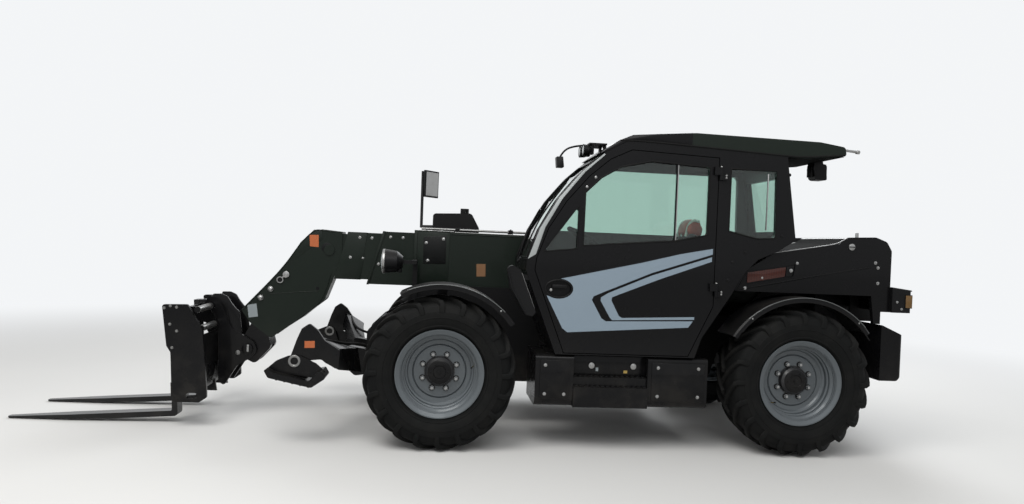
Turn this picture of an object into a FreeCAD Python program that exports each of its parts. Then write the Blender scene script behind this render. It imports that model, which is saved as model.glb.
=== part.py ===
import FreeCAD, Part
import math
import os

# Telehandler: rigid chassis, cab on the left, four-section boom along the middle, engine on the right.
# Stations are measured in millimetres from the middle of the front axle: +X forward, +Y left, +Z up,
# with the ground at Z = 0. On export everything moves so that the origin lies on the ground in the
# middle of the overall length.

V = FreeCAD.Vector

# Fits
PIN_FIT = 0.1            # radial clearance of a pin or rod in its bore
SLIDE_FIT = 0.4          # clearance of a wear pad on its sliding section
GAP = 6.0                # clearance between pieces that move past each other
FAR = 4000.0             # further out than any piece, for cutting shapes

# Wheels and axles
WHEELBASE = 2800.0
TRACK_HALF = 970.0
TYRE_RADIUS = 580.0
TYRE_HALF_WIDTH = 202.0
TYRE_BULGE_RADIUS = 430.0
SHOULDER_DROP = 14.0      # the tread is that much lower at its shoulders
LUG_COUNT = 20            # lugs on each side of the tread
LUG_HEIGHT = 27.0
LUG_HALF_WIDTH = 18.0
LUG_FLARE = 5.0           # how far a lug's wall leans out on each side
LUG_LEAD = 20.6           # degrees that a lug's inner end runs ahead
RIM_FLANGE_RADIUS = 332.0
RIM_SEAT_RADIUS = 306.0
RIM_HALF_WIDTH = 165.0
RIM_FLANGE_WIDTH = 15.0
RIM_WELL_DEPTH = 58.0    # from the bead seat down to the well
RIM_THICKNESS = 9.0
DISC_THICKNESS = 12.0
DISC_PLATE_RADIUS = 198.0
DISC_PLATE_RISE = 7.0
STUD_CIRCLE_RADIUS = 137.5
STUD_COUNT = 8
STUD_RADIUS = 15.0
STUD_LENGTH = 30.0
HUB_CAP_RADIUS = 108.0
HUB_CAP_LENGTH = 70.0
HUB_DRUM_RADIUS = 150.0
KINGPIN_INSET = 190.0    # from the wheel's middle plane in to the kingpin
KINGPIN_RADIUS = 24.0
KNUCKLE_CORE_RADIUS = 62.0
KNUCKLE_CORE_HALF = 98.0
LUG_PLATE = 30.0
SPINDLE_RADIUS = 90.0
SPINDLE_PIN_RADIUS = 40.0
CARRIER_RADIUS = 160.0
CARRIER_THICKNESS = 26.0
CARRIER_OFFSET = 78.0
STEERING_ARM = 180.0
STEERING_ARM_HALF_WIDTH = 35.0
STEERING_ARM_THICKNESS = 30.0
STEERING_ROD_RADIUS = 18.0
STEERING_CYLINDER_RADIUS = 44.0
STEERING_CYLINDER_HALF = 250.0
DIFFERENTIAL_RADIUS = 150.0
DIFFERENTIAL_HALF = 120.0
AXLE_TUBE_RADIUS = 80.0
AXLE_FORK_REACH = 130.0  # from the tube's end out to the kingpin
AXLE_PAD_HALF_LENGTH = 110.0
FENDER_RADIUS = 662.0
FENDER_THICKNESS = 10.0
FENDER_INNER = 40.0      # inner edge, outwards from the kingpin
FENDER_OUTER = 385.0     # outer edge, outwards from the kingpin
FENDER_LIP = 26.0

# Chassis
FRAME_HALF_WIDTH = 225.0
FRAME_PLATE = 25.0
FRAME_TOP = 1010.0
FRAME_SHOULDER = 1185.0   # top of the side plates beside the boom's front end
FRAME_BOTTOM = 380.0
FRAME_ARCH_TOP = 770.0
FRAME_ARCH_HALF = 310.0
NOSE_FRONT = 620.0
BODY_FLOOR = 745.0       # underside of the cab, top of the step box
SIDE_HALF_WIDTH = 1080.0
SIDE_FRONT = -725.0
SIDE_REAR = -2075.0
SIDE_BOTTOM = 345.0
OUTRIGGER_END = 560.0
OUTRIGGER_WIDTH = 90.0
OUTRIGGER_HEIGHT = 130.0
OUTRIGGER_STATIONS = (-900.0, -1900.0)

# Rear end
REAR_END = -3750.0
WEIGHT_TOP = 1045.0
WEIGHT_BOTTOM = 598.0
WEIGHT_FRONT = -3515.0
WEIGHT_HALF_WIDTH = 1010.0
TOW_BORE_RADIUS = 18.0
TOW_X = -3690.0
TOW_LUG = 28.0
TOW_JAW = 70.0
TOW_Z = 700.0
PANEL_WALL = 40.0
PANEL_OUTER = 1000.0
PANEL_BOTTOM = 1275.0
PANEL_REAR = -3578.0
MARKER_DEPTH = 10.0       # recess of the side marker lamps
GRILLE_COUNT = 7
GRILLE_PITCH = 34.0
GRILLE_SLOT = 18.0
GRILLE_DEPTH = 12.0
GRILLE_LOW = 1350.0
GRILLE_INNER = 320.0
GRILLE_OUTER = 860.0
LAMP_LOW = 1150.0
LAMP_HIGH = 1325.0
LAMP_REAR = -3746.0

# Boom
BOOM_PIVOT_X = -3450.0
BOOM_PIVOT_Z = 1550.0
BOOM_PIN_RADIUS = 45.0
BOOM_TAIL_RADIUS = 165.0
BOOM_WALL = 10.0
TOWER_RADIUS = 150.0
PAD_LENGTH = 110.0
# Boom sections: name, half width, underside, top, rear end, front end at the top, front end below
BOOM_SECTIONS = (
    ("boom_outer", 175.0, 1130.0, 1645.0, -2800.0, 250.0, 250.0),
    ("boom_second", 153.0, 1172.0, 1628.0, -2650.0, 520.0, 645.0),
    ("boom_third", 131.0, 1209.0, 1611.0, -2350.0, 790.0, 790.0),
    ("boom_head", 109.0, 1240.0, 1594.0, -2100.0, 930.0, 930.0),
)
HEAD_HALF_WIDTH = 120.0

# Lift cylinder, from its base pin in the chassis to its eye under the boom
LIFT_BASE_X = -3300.0
LIFT_BASE_Z = 700.0
LIFT_EYE_X = -1995.0
LIFT_EYE_Z = 1010.0
LIFT_PIN_RADIUS = 35.0
LIFT_BARREL_RADIUS = 70.0
LIFT_BORE_RADIUS = 52.0
LIFT_ROD_RADIUS = 40.0
LIFT_EYE_RADIUS = 56.0
LIFT_EYE_HALF = 45.0
LIFT_ROD_SHOWN = 161.0   # from the barrel's end to the rod's eye when closed

# Tool end
TILT_PIVOT_X = 1620.0
TILT_PIVOT_Z = 585.0
TILT_PIN_RADIUS = 30.0
TILT_EYE_RADIUS = 74.0
CARRIER_PLATE_INNER = 128.0
CARRIER_PLATE = 24.0
CARRIAGE_HALF_WIDTH = 555.0
CARRIAGE_PLATE = 28.0
CARRIAGE_TUBE_RADIUS = 25.0
CARRIAGE_BAR = 36.0
CARRIAGE_SHEET = 10.0     # back sheet between the side plates
CARRIAGE_SHEET_X = 1876.0
FORK_SPREAD = 320.0      # middle of a fork from the middle plane
FORK_WIDTH = 120.0
FORK_THICKNESS = 45.0
FORK_LENGTH = 1280.0
FORK_TIP_THICKNESS = 12.0
FORK_TIP_WIDTH = 56.0
FORK_SHANK = 900.0
FORK_HEEL_X = 2142.0
FORK_HEEL_Z = 52.0
FORK_TILT = 3.5          # degrees, nose down

# Stabilizers
LEG_PIVOT_X = 400.0
LEG_PIVOT_Z = 500.0
LEG_PIN_RADIUS = 28.0
LEG_HUB_RADIUS = 58.0
LEG_INNER = 233.0
LEG_ARM_WIDTH = 90.0
LEG_PLATE_Y = 940.0
LEG_PLATE = 30.0
PAD_PIVOT_X = 1082.0
PAD_PIVOT_Z = 625.0
PAD_PIN_RADIUS = 20.0
PAD_EYE_RADIUS = 44.0
PAD_HALF_WIDTH = 120.0

# Cab
CAB_INNER = 232.0        # right-hand face, beside the boom
CAB_OUTER = 1070.0       # left-hand face
CAB_WALL = 45.0
GLASS = 6.0
DOOR_THICKNESS = 42.0
DIVIDER_X = -1765.0       # edge strip of the door's sliding pane
DOOR_HINGE_X = -2102.0
DOOR_HINGE_Y = 1090.0
DOOR_HINGE_RADIUS = 13.0
DOOR_PIN_RADIUS = 6.0

# Engine side
BAY_WALL = 30.0
BAY_BOTTOM = 640.0
BAY_TOP = 1545.0
BAY_SHOULDER = 1462.0
BAY_OUTER = 1056.0
HOOD_TOP = 1600.0
HOOD_SKIN = 24.0
HOOD_SKIRT = 900.0
LOUVRE_BANKS = (-2020.0, -1610.0, -1200.0)
LOUVRE_LENGTH = 290.0
LOUVRE_COUNT = 7
LOUVRE_PITCH = 52.0
LOUVRE_SLOT = 26.0
LOUVRE_DEPTH = 9.0
LOUVRE_LOW = 1000.0
HOOD_HINGE_Y = -262.0
HOOD_HINGE_Z = 1575.0
HOOD_HINGE_RADIUS = 12.0
HOOD_PIN_RADIUS = 5.0

AXLE_Z = TYRE_RADIUS
RIM_WELL_RADIUS = RIM_SEAT_RADIUS - RIM_WELL_DEPTH
KINGPIN_Y = TRACK_HALF - KINGPIN_INSET
AXLE_TUBE_END = KINGPIN_Y - AXLE_FORK_REACH
REAR_AXLE_X = -WHEELBASE
FORK_TILT_RAD = math.radians(FORK_TILT)
FORK_TIP_X = (FORK_HEEL_X + FORK_LENGTH * math.cos(FORK_TILT_RAD)
              + FORK_THICKNESS * math.sin(FORK_TILT_RAD))
ORIGIN_SHIFT = V(-(FORK_TIP_X + REAR_END) / 2.0, 0, 0)


# Drawing helpers

def rounded_wire(corners, place):
    """A closed wire through corners of (u, v, radius), each rounded by an arc of its radius."""
    spans = []
    count = len(corners)
    for index, (u, v, radius) in enumerate(corners):
        here = V(u, v, 0)
        before = V(corners[index - 1][0], corners[index - 1][1], 0)
        after = V(corners[(index + 1) % count][0], corners[(index + 1) % count][1], 0)
        if radius <= 0:
            spans.append((here, None, here))
            continue
        back = (before - here).normalize()
        ahead = (after - here).normalize()
        half = back.getAngle(ahead) / 2.0
        reach = radius / math.tan(half)
        centre = here + (back + ahead).normalize() * (radius / math.sin(half))
        middle = centre + (here - centre).normalize() * radius
        spans.append((here + back * reach, middle, here + ahead * reach))
    edges = []
    for index, (start, middle, end) in enumerate(spans):
        if middle is not None:
            edges.append(Part.Arc(place(start), place(middle), place(end)).toShape())
        following = spans[(index + 1) % count][0]
        if (following - end).Length > 0.01:
            edges.append(Part.LineSegment(place(end), place(following)).toShape())
    return Part.Wire(edges)


def with_radius(points, radius=0.0):
    """Points of (u, v) or (u, v, radius) as corners that all state a radius."""
    return [tuple(p) if len(p) == 3 else (p[0], p[1], radius) for p in points]


def prism_y(points, y_from, y_to, radius=0.0):
    """An outline of (x, z) corners drawn along Y."""
    wire = rounded_wire(with_radius(points, radius), lambda p: V(p.x, y_from, p.y))
    return Part.Face(wire).extrude(V(0, y_to - y_from, 0))


def prism_z(points, z_from, z_to, radius=0.0):
    """An outline of (x, y) corners drawn along Z."""
    wire = rounded_wire(with_radius(points, radius), lambda p: V(p.x, p.y, z_from))
    return Part.Face(wire).extrude(V(0, 0, z_to - z_from))


def prism_x(points, x_from, x_to, radius=0.0):
    """An outline of (y, z) corners drawn along X."""
    wire = rounded_wire(with_radius(points, radius), lambda p: V(x_from, p.x, p.y))
    return Part.Face(wire).extrude(V(x_to - x_from, 0, 0))


def block(x_from, x_to, y_from, y_to, z_from, z_to):
    """A box between two values on each axis, given in either order."""
    low = V(min(x_from, x_to), min(y_from, y_to), min(z_from, z_to))
    return Part.makeBox(abs(x_to - x_from), abs(y_to - y_from), abs(z_to - z_from), low)


def bar(start, end, radius):
    """A round bar from one point to another."""
    along = end - start
    return Part.makeCylinder(radius, along.Length, start, along)


def bar_y(x, z, y_from, y_to, radius):
    """A round bar along Y."""
    return bar(V(x, min(y_from, y_to), z), V(x, max(y_from, y_to), z), radius)


def lathe_y(profile, turn=360.0):
    """A closed profile of (y, r) points turned about the Y axis."""
    points = [V(r, y, 0) for y, r in profile]
    return Part.Face(Part.makePolygon(points + points[:1])).revolve(V(0, 0, 0), V(0, 1, 0), turn)


def lathe_x(profile, x, y, z):
    """A closed profile of (offset, r) points turned about an axis along X."""
    points = [V(x + offset, y, z + r) for offset, r in profile]
    return Part.Face(Part.makePolygon(points + points[:1])).revolve(V(x, y, z), V(1, 0, 0), 360.0)


def fuse(*shapes):
    """One solid from pieces that touch or overlap."""
    body = shapes[0]
    for shape in shapes[1:]:
        body = body.fuse(shape)
    return body.removeSplitter()


def cut(shape, *tools):
    """A shape with each tool taken out of it."""
    for tool in tools:
        shape = shape.cut(tool)
    return shape


def inset(points, depth):
    """A closed outline moved inwards by one depth; its corners run clockwise or the other way."""
    area = sum(points[i - 1][0] * points[i][1] - points[i][0] * points[i - 1][1] for i in range(len(points)))
    inward = 1.0 if area > 0 else -1.0
    lines = []
    for index, end in enumerate(points):
        start = points[index - 1]
        along = V(end[0] - start[0], end[1] - start[1], 0).normalize()
        normal = V(-along.y, along.x, 0) * (inward * depth)
        lines.append((V(start[0], start[1], 0) + normal, along))
    moved = []
    for index, (origin, along) in enumerate(lines):
        other, across = lines[(index + 1) % len(lines)]
        gap = other - origin
        reach = (gap.x * across.y - gap.y * across.x) / (along.x * across.y - along.y * across.x)
        corner = origin + along * reach
        moved.append((corner.x, corner.y))
    return moved


def mirrored(shape):
    """The same piece on the other side of the middle plane."""
    return shape.mirror(V(0, 0, 0), V(0, 1, 0))


def both_sides(shape):
    """A left-hand piece and its right-hand twin, as separate solids."""
    return Part.makeCompound([shape, mirrored(shape)])


# Wheel ends, drawn at the left front wheel

RIM_BACK = TRACK_HALF - RIM_HALF_WIDTH
DISC_FACE = TRACK_HALF + DISC_THICKNESS
HUB_BACK = KINGPIN_Y + CARRIER_OFFSET + CARRIER_THICKNESS + GAP


def wheel_axis(shape):
    """A piece turned about the Y axis, lifted to the height of the axle."""
    shape.translate(V(0, 0, AXLE_Z))
    return shape


# Rows along a lug, from the tread's middle to the side wall: y, lug's top and foot radius, share of the lead
LUG_ROWS = (
    (4.0, TYRE_RADIUS, TYRE_RADIUS - LUG_HEIGHT, 1.0),
    (TYRE_HALF_WIDTH - 44, TYRE_RADIUS - SHOULDER_DROP, TYRE_RADIUS - LUG_HEIGHT - 12, 0.16),
    (TYRE_HALF_WIDTH, TYRE_BULGE_RADIUS + 34, TYRE_BULGE_RADIUS + 30, 0.0),
)
SIDE_WALL_SINK = 9.0      # from the lug's end in to the plain side wall
CHORD = 1.0 / math.cos(math.pi / (2 * LUG_COUNT))  # keeps a ring of facets outside its circle


def ring_point(y, radius, angle):
    """A point of the wheel by its station along the axle, radius and angle."""
    return V(radius * math.cos(angle), TRACK_HALF + y, radius * math.sin(angle))


def lug_section(side, row, turn):
    """The four corners of a lug in one row: foot, top, top and foot again."""
    y, top, low, share = LUG_ROWS[row]
    angle = turn - math.radians(LUG_LEAD) * share
    foot_y = y - SIDE_WALL_SINK if row == len(LUG_ROWS) - 1 else y
    half = LUG_HALF_WIDTH / top
    foot = (LUG_HALF_WIDTH + LUG_FLARE) / low
    return [ring_point(side * foot_y, low, angle - foot), ring_point(side * y, top, angle - half),
            ring_point(side * y, top, angle + half), ring_point(side * foot_y, low, angle + foot)]


def band(first, second):
    """Facets between two closed rings of as many points."""
    count = len(first)
    faces = []
    for k in range(count):
        after = (k + 1) % count
        faces.append((first[k], first[after], second[after]))
        faces.append((first[k], second[after], second[k]))
    return faces


def tread_side(side, turn):
    """One side's lugs and grooves: their facets, and the rings at the middle and at the side wall."""
    pitch = 2.0 * math.pi / LUG_COUNT
    rows = [[lug_section(side, row, turn + pitch * k) for k in range(LUG_COUNT)] for row in range(len(LUG_ROWS))]
    faces = []
    for first, second in zip(rows, rows[1:]):
        flat = [[corner for lug in row for corner in lug] for row in (first, second)]
        faces += band(*flat)
    for lugs in (rows[0], rows[-1]):
        for a, b, c, d in lugs:
            faces += [(a, b, c), (a, c, d)]
    middle, edge = ([corner for lug in row for corner in (lug[0], lug[3])] for row in (rows[0], rows[-1]))
    return faces, middle, edge


def tyre(sense=1.0):
    """Tyre with two rows of bar lugs half a pitch apart, side walls and beads between the rim flanges."""
    bead = RIM_HALF_WIDTH - RIM_FLANGE_WIDTH
    # Rings below the lugs: y, radius
    rings = ((RIM_HALF_WIDTH + 6, RIM_FLANGE_RADIUS + 20), (bead, (RIM_FLANGE_RADIUS + 0.5) * CHORD),
             (bead, (RIM_SEAT_RADIUS + 0.1) * CHORD))
    faces = []
    middles = []
    bores = []
    lowest = math.radians(LUG_LEAD - 90.0) + LUG_HALF_WIDTH / TYRE_RADIUS
    for side, turn in ((1.0, lowest), (-1.0, lowest + math.pi / LUG_COUNT)):
        tread, middle, edge = tread_side(side, turn)
        faces += tread
        for y, radius in rings:
            ring = [ring_point(side * y, radius, turn + math.pi * (k - 0.5) / LUG_COUNT) for k in range(2 * LUG_COUNT)]
            faces += band(edge, ring)
            edge = ring
        middles.append(middle)
        bores.append(edge)
    faces += band(middles[0], middles[1])
    faces += band(bores[0], bores[1])
    skin = Part.Shell([Part.Face(Part.makePolygon([*face, face[0]])) for face in faces])
    body = Part.Solid(skin)
    if sense < 0:
        body = body.mirror(V(0, 0, 0), V(1, 0, 0))
    return wheel_axis(body)


def rim():
    """Rim with its flanges, bead seats and well, the wheel disc, studs, hub drum and hub cap."""
    edge = RIM_HALF_WIDTH
    seat_end = edge - RIM_FLANGE_WIDTH
    well = RIM_WELL_RADIUS
    outside = [
        (-edge, RIM_FLANGE_RADIUS), (-seat_end, RIM_FLANGE_RADIUS), (-seat_end, RIM_SEAT_RADIUS),
        (-seat_end + 46, RIM_SEAT_RADIUS - 3), (-seat_end + 78, well + 8), (10, well + 8),
        (34, well + 20), (seat_end - 50, RIM_SEAT_RADIUS - 14), (seat_end - 42, RIM_SEAT_RADIUS - 2),
        (seat_end, RIM_SEAT_RADIUS), (seat_end, RIM_FLANGE_RADIUS), (edge, RIM_FLANGE_RADIUS),
    ]
    skin = RIM_THICKNESS
    inside = [
        (edge, RIM_FLANGE_RADIUS - 8), (seat_end + 3, RIM_SEAT_RADIUS - skin),
        (seat_end - 40, RIM_SEAT_RADIUS - skin - 4),
        (seat_end - 52, RIM_SEAT_RADIUS - skin - 18), (68, well + 24), (62, well + 14),
        (36, well + 20 - skin), (12, well),
        (-seat_end + 80, well), (-seat_end + 44, RIM_SEAT_RADIUS - skin - 4),
        (-seat_end - 3, RIM_SEAT_RADIUS - skin),
        (-edge, RIM_FLANGE_RADIUS - 8),
    ]
    barrel = lathe_y([(y + TRACK_HALF, r) for y, r in outside + inside])
    plate = DISC_FACE + DISC_PLATE_RISE
    disc = lathe_y([(TRACK_HALF, 0), (TRACK_HALF, well + 4), (DISC_FACE, well + 4),
                    (DISC_FACE, DISC_PLATE_RADIUS + DISC_PLATE_RISE), (plate, DISC_PLATE_RADIUS), (plate, 0)])
    drum = lathe_y([
        (HUB_BACK, 0), (HUB_BACK, HUB_DRUM_RADIUS), (TRACK_HALF - 20, HUB_DRUM_RADIUS),
        (TRACK_HALF, HUB_DRUM_RADIUS + 18),
        (DISC_FACE, HUB_DRUM_RADIUS + 18), (DISC_FACE, HUB_CAP_RADIUS + 4),
        (TRACK_HALF + HUB_CAP_LENGTH - 14, HUB_CAP_RADIUS), (TRACK_HALF + HUB_CAP_LENGTH, HUB_CAP_RADIUS - 16),
        (TRACK_HALF + HUB_CAP_LENGTH, 0),
    ])
    studs = []
    for index in range(STUD_COUNT):
        angle = 2.0 * math.pi * (index + 0.5) / STUD_COUNT
        x = STUD_CIRCLE_RADIUS * math.cos(angle)
        z = STUD_CIRCLE_RADIUS * math.sin(angle)
        studs.append(bar_y(x, z, TRACK_HALF, DISC_FACE + STUD_LENGTH, STUD_RADIUS))
    bore = bar_y(0, 0, HUB_BACK - 5, TRACK_HALF + 16, SPINDLE_PIN_RADIUS + PIN_FIT)
    return wheel_axis(cut(fuse(barrel, disc, drum, *studs), bore))


def knuckle():
    """Steering knuckle: core on the kingpin, spindle, brake carrier, steering arm and fender cap."""
    carrier_y = KINGPIN_Y + CARRIER_OFFSET
    lug_top = AXLE_Z + KNUCKLE_CORE_HALF + GAP + LUG_PLATE
    core = bar(V(0, KINGPIN_Y, AXLE_Z - KNUCKLE_CORE_HALF), V(0, KINGPIN_Y, AXLE_Z + KNUCKLE_CORE_HALF),
               KNUCKLE_CORE_RADIUS)
    pin_low = AXLE_Z - KNUCKLE_CORE_HALF - GAP - LUG_PLATE - 8
    kingpin = bar(V(0, KINGPIN_Y, pin_low), V(0, KINGPIN_Y, lug_top + GAP + 20), KINGPIN_RADIUS)
    cap = bar(V(0, KINGPIN_Y, lug_top + GAP), V(0, KINGPIN_Y, lug_top + GAP + 24), KINGPIN_RADIUS + 20)
    spindle = bar_y(0, AXLE_Z, KINGPIN_Y, carrier_y + 5, SPINDLE_RADIUS)
    carrier = bar_y(0, AXLE_Z, carrier_y, carrier_y + CARRIER_THICKNESS, CARRIER_RADIUS)
    pin = bar_y(0, AXLE_Z, carrier_y, TRACK_HALF + 10, SPINDLE_PIN_RADIUS)
    arm_top = AXLE_Z - STEERING_ROD_RADIUS - 12
    half = STEERING_ARM_HALF_WIDTH
    tip = STEERING_ARM + half
    arm = prism_z([(0, KINGPIN_Y - half), (0, KINGPIN_Y + half), (tip, KINGPIN_Y + half, half - 2),
                   (tip, KINGPIN_Y - half, half - 2)], arm_top - STEERING_ARM_THICKNESS, arm_top)
    return fuse(core, kingpin, cap, spindle, carrier, pin, arm)


def fender(start_angle, end_angle):
    """Fender over the tyre between two angles from straight ahead, with its bracket on the knuckle."""
    inner = KINGPIN_Y + FENDER_INNER
    outer = KINGPIN_Y + FENDER_OUTER
    radius = FENDER_RADIUS
    top = radius + FENDER_THICKNESS
    shell = lathe_y([
        (inner, radius), (inner, top), (outer - 12, top), (outer, top - 12), (outer, radius - FENDER_LIP),
        (outer - 8, radius - FENDER_LIP), (outer - 8, radius),
    ], end_angle - start_angle)
    shell.rotate(V(0, 0, 0), V(0, 1, 0), -end_angle)
    shell = wheel_axis(shell)
    foot_z = AXLE_Z + KNUCKLE_CORE_HALF + GAP + LUG_PLATE + GAP + 24
    foot = block(-44, 44, KINGPIN_Y - 44, KINGPIN_Y + 14, foot_z, foot_z + 12)
    stay_y = KINGPIN_Y - 44
    stay = block(-40, 40, stay_y, stay_y + 14, foot_z, AXLE_Z + radius + 4)
    shelf = block(-40, 40, stay_y, inner + 30, AXLE_Z + radius - 8, AXLE_Z + radius + 4)
    return fuse(shell, foot, stay, shelf)


def axle():
    """Axle beam: differential, tubes, forked ends for the kingpins, saddles and steering cylinder."""
    beam = lathe_y([
        (-AXLE_TUBE_END, 0), (-AXLE_TUBE_END, AXLE_TUBE_RADIUS), (-DIFFERENTIAL_HALF - 150, AXLE_TUBE_RADIUS),
        (-DIFFERENTIAL_HALF, DIFFERENTIAL_RADIUS), (DIFFERENTIAL_HALF, DIFFERENTIAL_RADIUS),
        (DIFFERENTIAL_HALF + 150, AXLE_TUBE_RADIUS), (AXLE_TUBE_END, AXLE_TUBE_RADIUS), (AXLE_TUBE_END, 0),
    ])
    beam = wheel_axis(beam)
    nose = bar(V(0, 0, AXLE_Z), V(-250, 0, AXLE_Z), 68)
    pieces = [beam, nose]
    lug = KNUCKLE_CORE_RADIUS - 4
    low = AXLE_Z - KNUCKLE_CORE_HALF - GAP - LUG_PLATE
    high = AXLE_Z + KNUCKLE_CORE_HALF + GAP + LUG_PLATE
    for side in (1, -1):
        pieces.append(block(-lug, lug, side * (AXLE_TUBE_END - 12), side * (AXLE_TUBE_END + 18), low, high))
        for z_from in (low, high - LUG_PLATE):
            tip = side * (KINGPIN_Y + lug)
            root = side * (AXLE_TUBE_END - 12)
            pieces.append(prism_z([(4 - lug, root), (lug - 4, root), (lug - 4, tip, lug - 14),
                                   (4 - lug, tip, lug - 14)], z_from, z_from + LUG_PLATE))
        saddle = side * (FRAME_HALF_WIDTH + 8)
        pieces.append(block(-AXLE_PAD_HALF_LENGTH, AXLE_PAD_HALF_LENGTH, side * 150, saddle,
                            AXLE_Z, FRAME_ARCH_TOP))
        pieces.append(block(0, STEERING_ARM, side * 150, side * 190, AXLE_Z - 38, AXLE_Z + 38))
    pieces.append(bar_y(STEERING_ARM, AXLE_Z, -STEERING_CYLINDER_HALF, STEERING_CYLINDER_HALF,
                        STEERING_CYLINDER_RADIUS))
    body = fuse(*pieces)
    bores = []
    for side in (1, -1):
        bores.append(bar(V(0, side * KINGPIN_Y, low - 20), V(0, side * KINGPIN_Y, high + 20),
                         KINGPIN_RADIUS + PIN_FIT))
    bores.append(bar_y(STEERING_ARM, AXLE_Z, -STEERING_CYLINDER_HALF - 5, STEERING_CYLINDER_HALF + 5,
                       STEERING_ROD_RADIUS + PIN_FIT))
    return cut(body, *bores)


def steering_rod():
    """Rod through the steering cylinder, with an eye over each steering arm."""
    rod = bar_y(STEERING_ARM, AXLE_Z, -KINGPIN_Y, KINGPIN_Y, STEERING_ROD_RADIUS)
    eyes = []
    low = AXLE_Z - STEERING_ROD_RADIUS - 12 + GAP
    for side in (1, -1):
        centre = V(STEERING_ARM, side * KINGPIN_Y, low)
        eyes.append(bar(centre, centre + V(0, 0, 2 * (AXLE_Z - low)), 28))
    return fuse(rod, *eyes)


def turned_round(shape):
    """A front wheel-end piece turned half round and set at the rear axle."""
    turned = shape.copy()
    turned.rotate(V(0, 0, 0), V(0, 0, 1), 180)
    turned.translate(V(REAR_AXLE_X, 0, 0))
    return turned


# Wheel ends: place, function that puts a left front piece there
WHEEL_PLACES = (
    ("front_left", lambda shape: shape),
    ("front_right", mirrored),
    ("rear_right", turned_round),
    ("rear_left", lambda shape: turned_round(mirrored(shape))),
)
FRONT_FENDER_ANGLES = (62.0, 144.0)
REAR_FENDER_ANGLES = (32.0, 142.0)


# Chassis

def frame_side_profile():
    """One side plate: nose, arch over the front axle, belly, arch over the rear axle and rear tower."""
    arch = FRAME_ARCH_HALF
    return [
        (NOSE_FRONT, 560, 40), (NOSE_FRONT, 780, 60), (500, 900, 80), (300, FRAME_TOP, 60),
        (240, FRAME_SHOULDER, 40), (-720, FRAME_SHOULDER, 60), (-860, FRAME_TOP, 60), (-2620, FRAME_TOP, 200),
        (-3130, BOOM_PIVOT_Z - 40, 150), (-3230, BOOM_PIVOT_Z + TOWER_RADIUS, 120),
        (BOOM_PIVOT_X - TOWER_RADIUS, BOOM_PIVOT_Z + TOWER_RADIUS, TOWER_RADIUS - 5),
        (BOOM_PIVOT_X - 140, 700, 40), (-3400, 420, 60), (REAR_AXLE_X - arch - 90, 420, 40),
        (REAR_AXLE_X - arch, FRAME_ARCH_TOP, 90), (REAR_AXLE_X + arch, FRAME_ARCH_TOP, 90),
        (REAR_AXLE_X + arch + 130, FRAME_BOTTOM, 60), (-arch - 130, FRAME_BOTTOM, 60),
        (-arch, FRAME_ARCH_TOP, 90), (arch - 30, FRAME_ARCH_TOP, 90), (arch + 20, 425, 40), (520, 425, 40),
    ]


def chassis_frame():
    """Two side plates joined by belly, nose and rear plates, cross tubes and outriggers."""
    inner = FRAME_HALF_WIDTH - FRAME_PLATE
    pieces = []
    for side in (1, -1):
        pieces.append(prism_y(frame_side_profile(), side * inner, side * FRAME_HALF_WIDTH))
        pieces.append(bar_y(BOOM_PIVOT_X, BOOM_PIVOT_Z, side * inner, side * (FRAME_HALF_WIDTH + 14),
                            BOOM_PIN_RADIUS + 40))
        pieces.append(bar_y(LEG_PIVOT_X, LEG_PIVOT_Z, side * inner, side * (LEG_INNER - GAP),
                            LEG_HUB_RADIUS + 6))
    pieces.append(block(-480, -2330, -inner - 5, inner + 5, FRAME_BOTTOM, FRAME_BOTTOM + FRAME_PLATE))
    pieces.append(block(NOSE_FRONT - FRAME_PLATE, NOSE_FRONT, -inner - 5, inner + 5, 580, 760))
    pieces.append(block(350, 500, -inner - 5, inner + 5, 425, 445))
    pieces.append(prism_y([(620 - 25, 760), (620, 760), (490, 905), (470, 885)], -inner - 5, inner + 5))
    pieces.append(block(BOOM_PIVOT_X - 125, BOOM_PIVOT_X - 95, -inner - 5, inner + 5, 460, 1080))
    for x, z in ((-1500.0, 900.0), (-700.0, 900.0), (-2330.0, 560.0)):
        pieces.append(bar_y(x, z, -inner - 5, inner + 5, 42))
    rest_top = BOOM_SECTIONS[0][2] - GAP
    pieces.append(block(60, 200, -inner - 5, inner + 5, FRAME_TOP - 90, FRAME_TOP - 60))
    pieces.append(block(90, 170, -120, 120, FRAME_TOP - 62, rest_top))
    for x in OUTRIGGER_STATIONS:
        for side in (1, -1):
            top = BODY_FLOOR if side > 0 else BAY_BOTTOM
            pieces.append(block(x - OUTRIGGER_WIDTH / 2, x + OUTRIGGER_WIDTH / 2, side * (FRAME_HALF_WIDTH - 5),
                                side * OUTRIGGER_END, top - OUTRIGGER_HEIGHT, top))
    lift_pin = bar_y(LIFT_BASE_X, LIFT_BASE_Z, -inner - 5, inner + 5, LIFT_PIN_RADIUS)
    pin_end = LEG_INNER + LEG_ARM_WIDTH + 10
    leg_pins = [bar_y(LEG_PIVOT_X, LEG_PIVOT_Z, side * inner, side * pin_end, LEG_PIN_RADIUS) for side in (1, -1)]
    body = fuse(*pieces)
    bore = bar_y(BOOM_PIVOT_X, BOOM_PIVOT_Z, -FRAME_HALF_WIDTH - 50, FRAME_HALF_WIDTH + 50,
                 BOOM_PIN_RADIUS + PIN_FIT)
    return fuse(cut(body, bore), lift_pin, *leg_pins)


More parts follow.
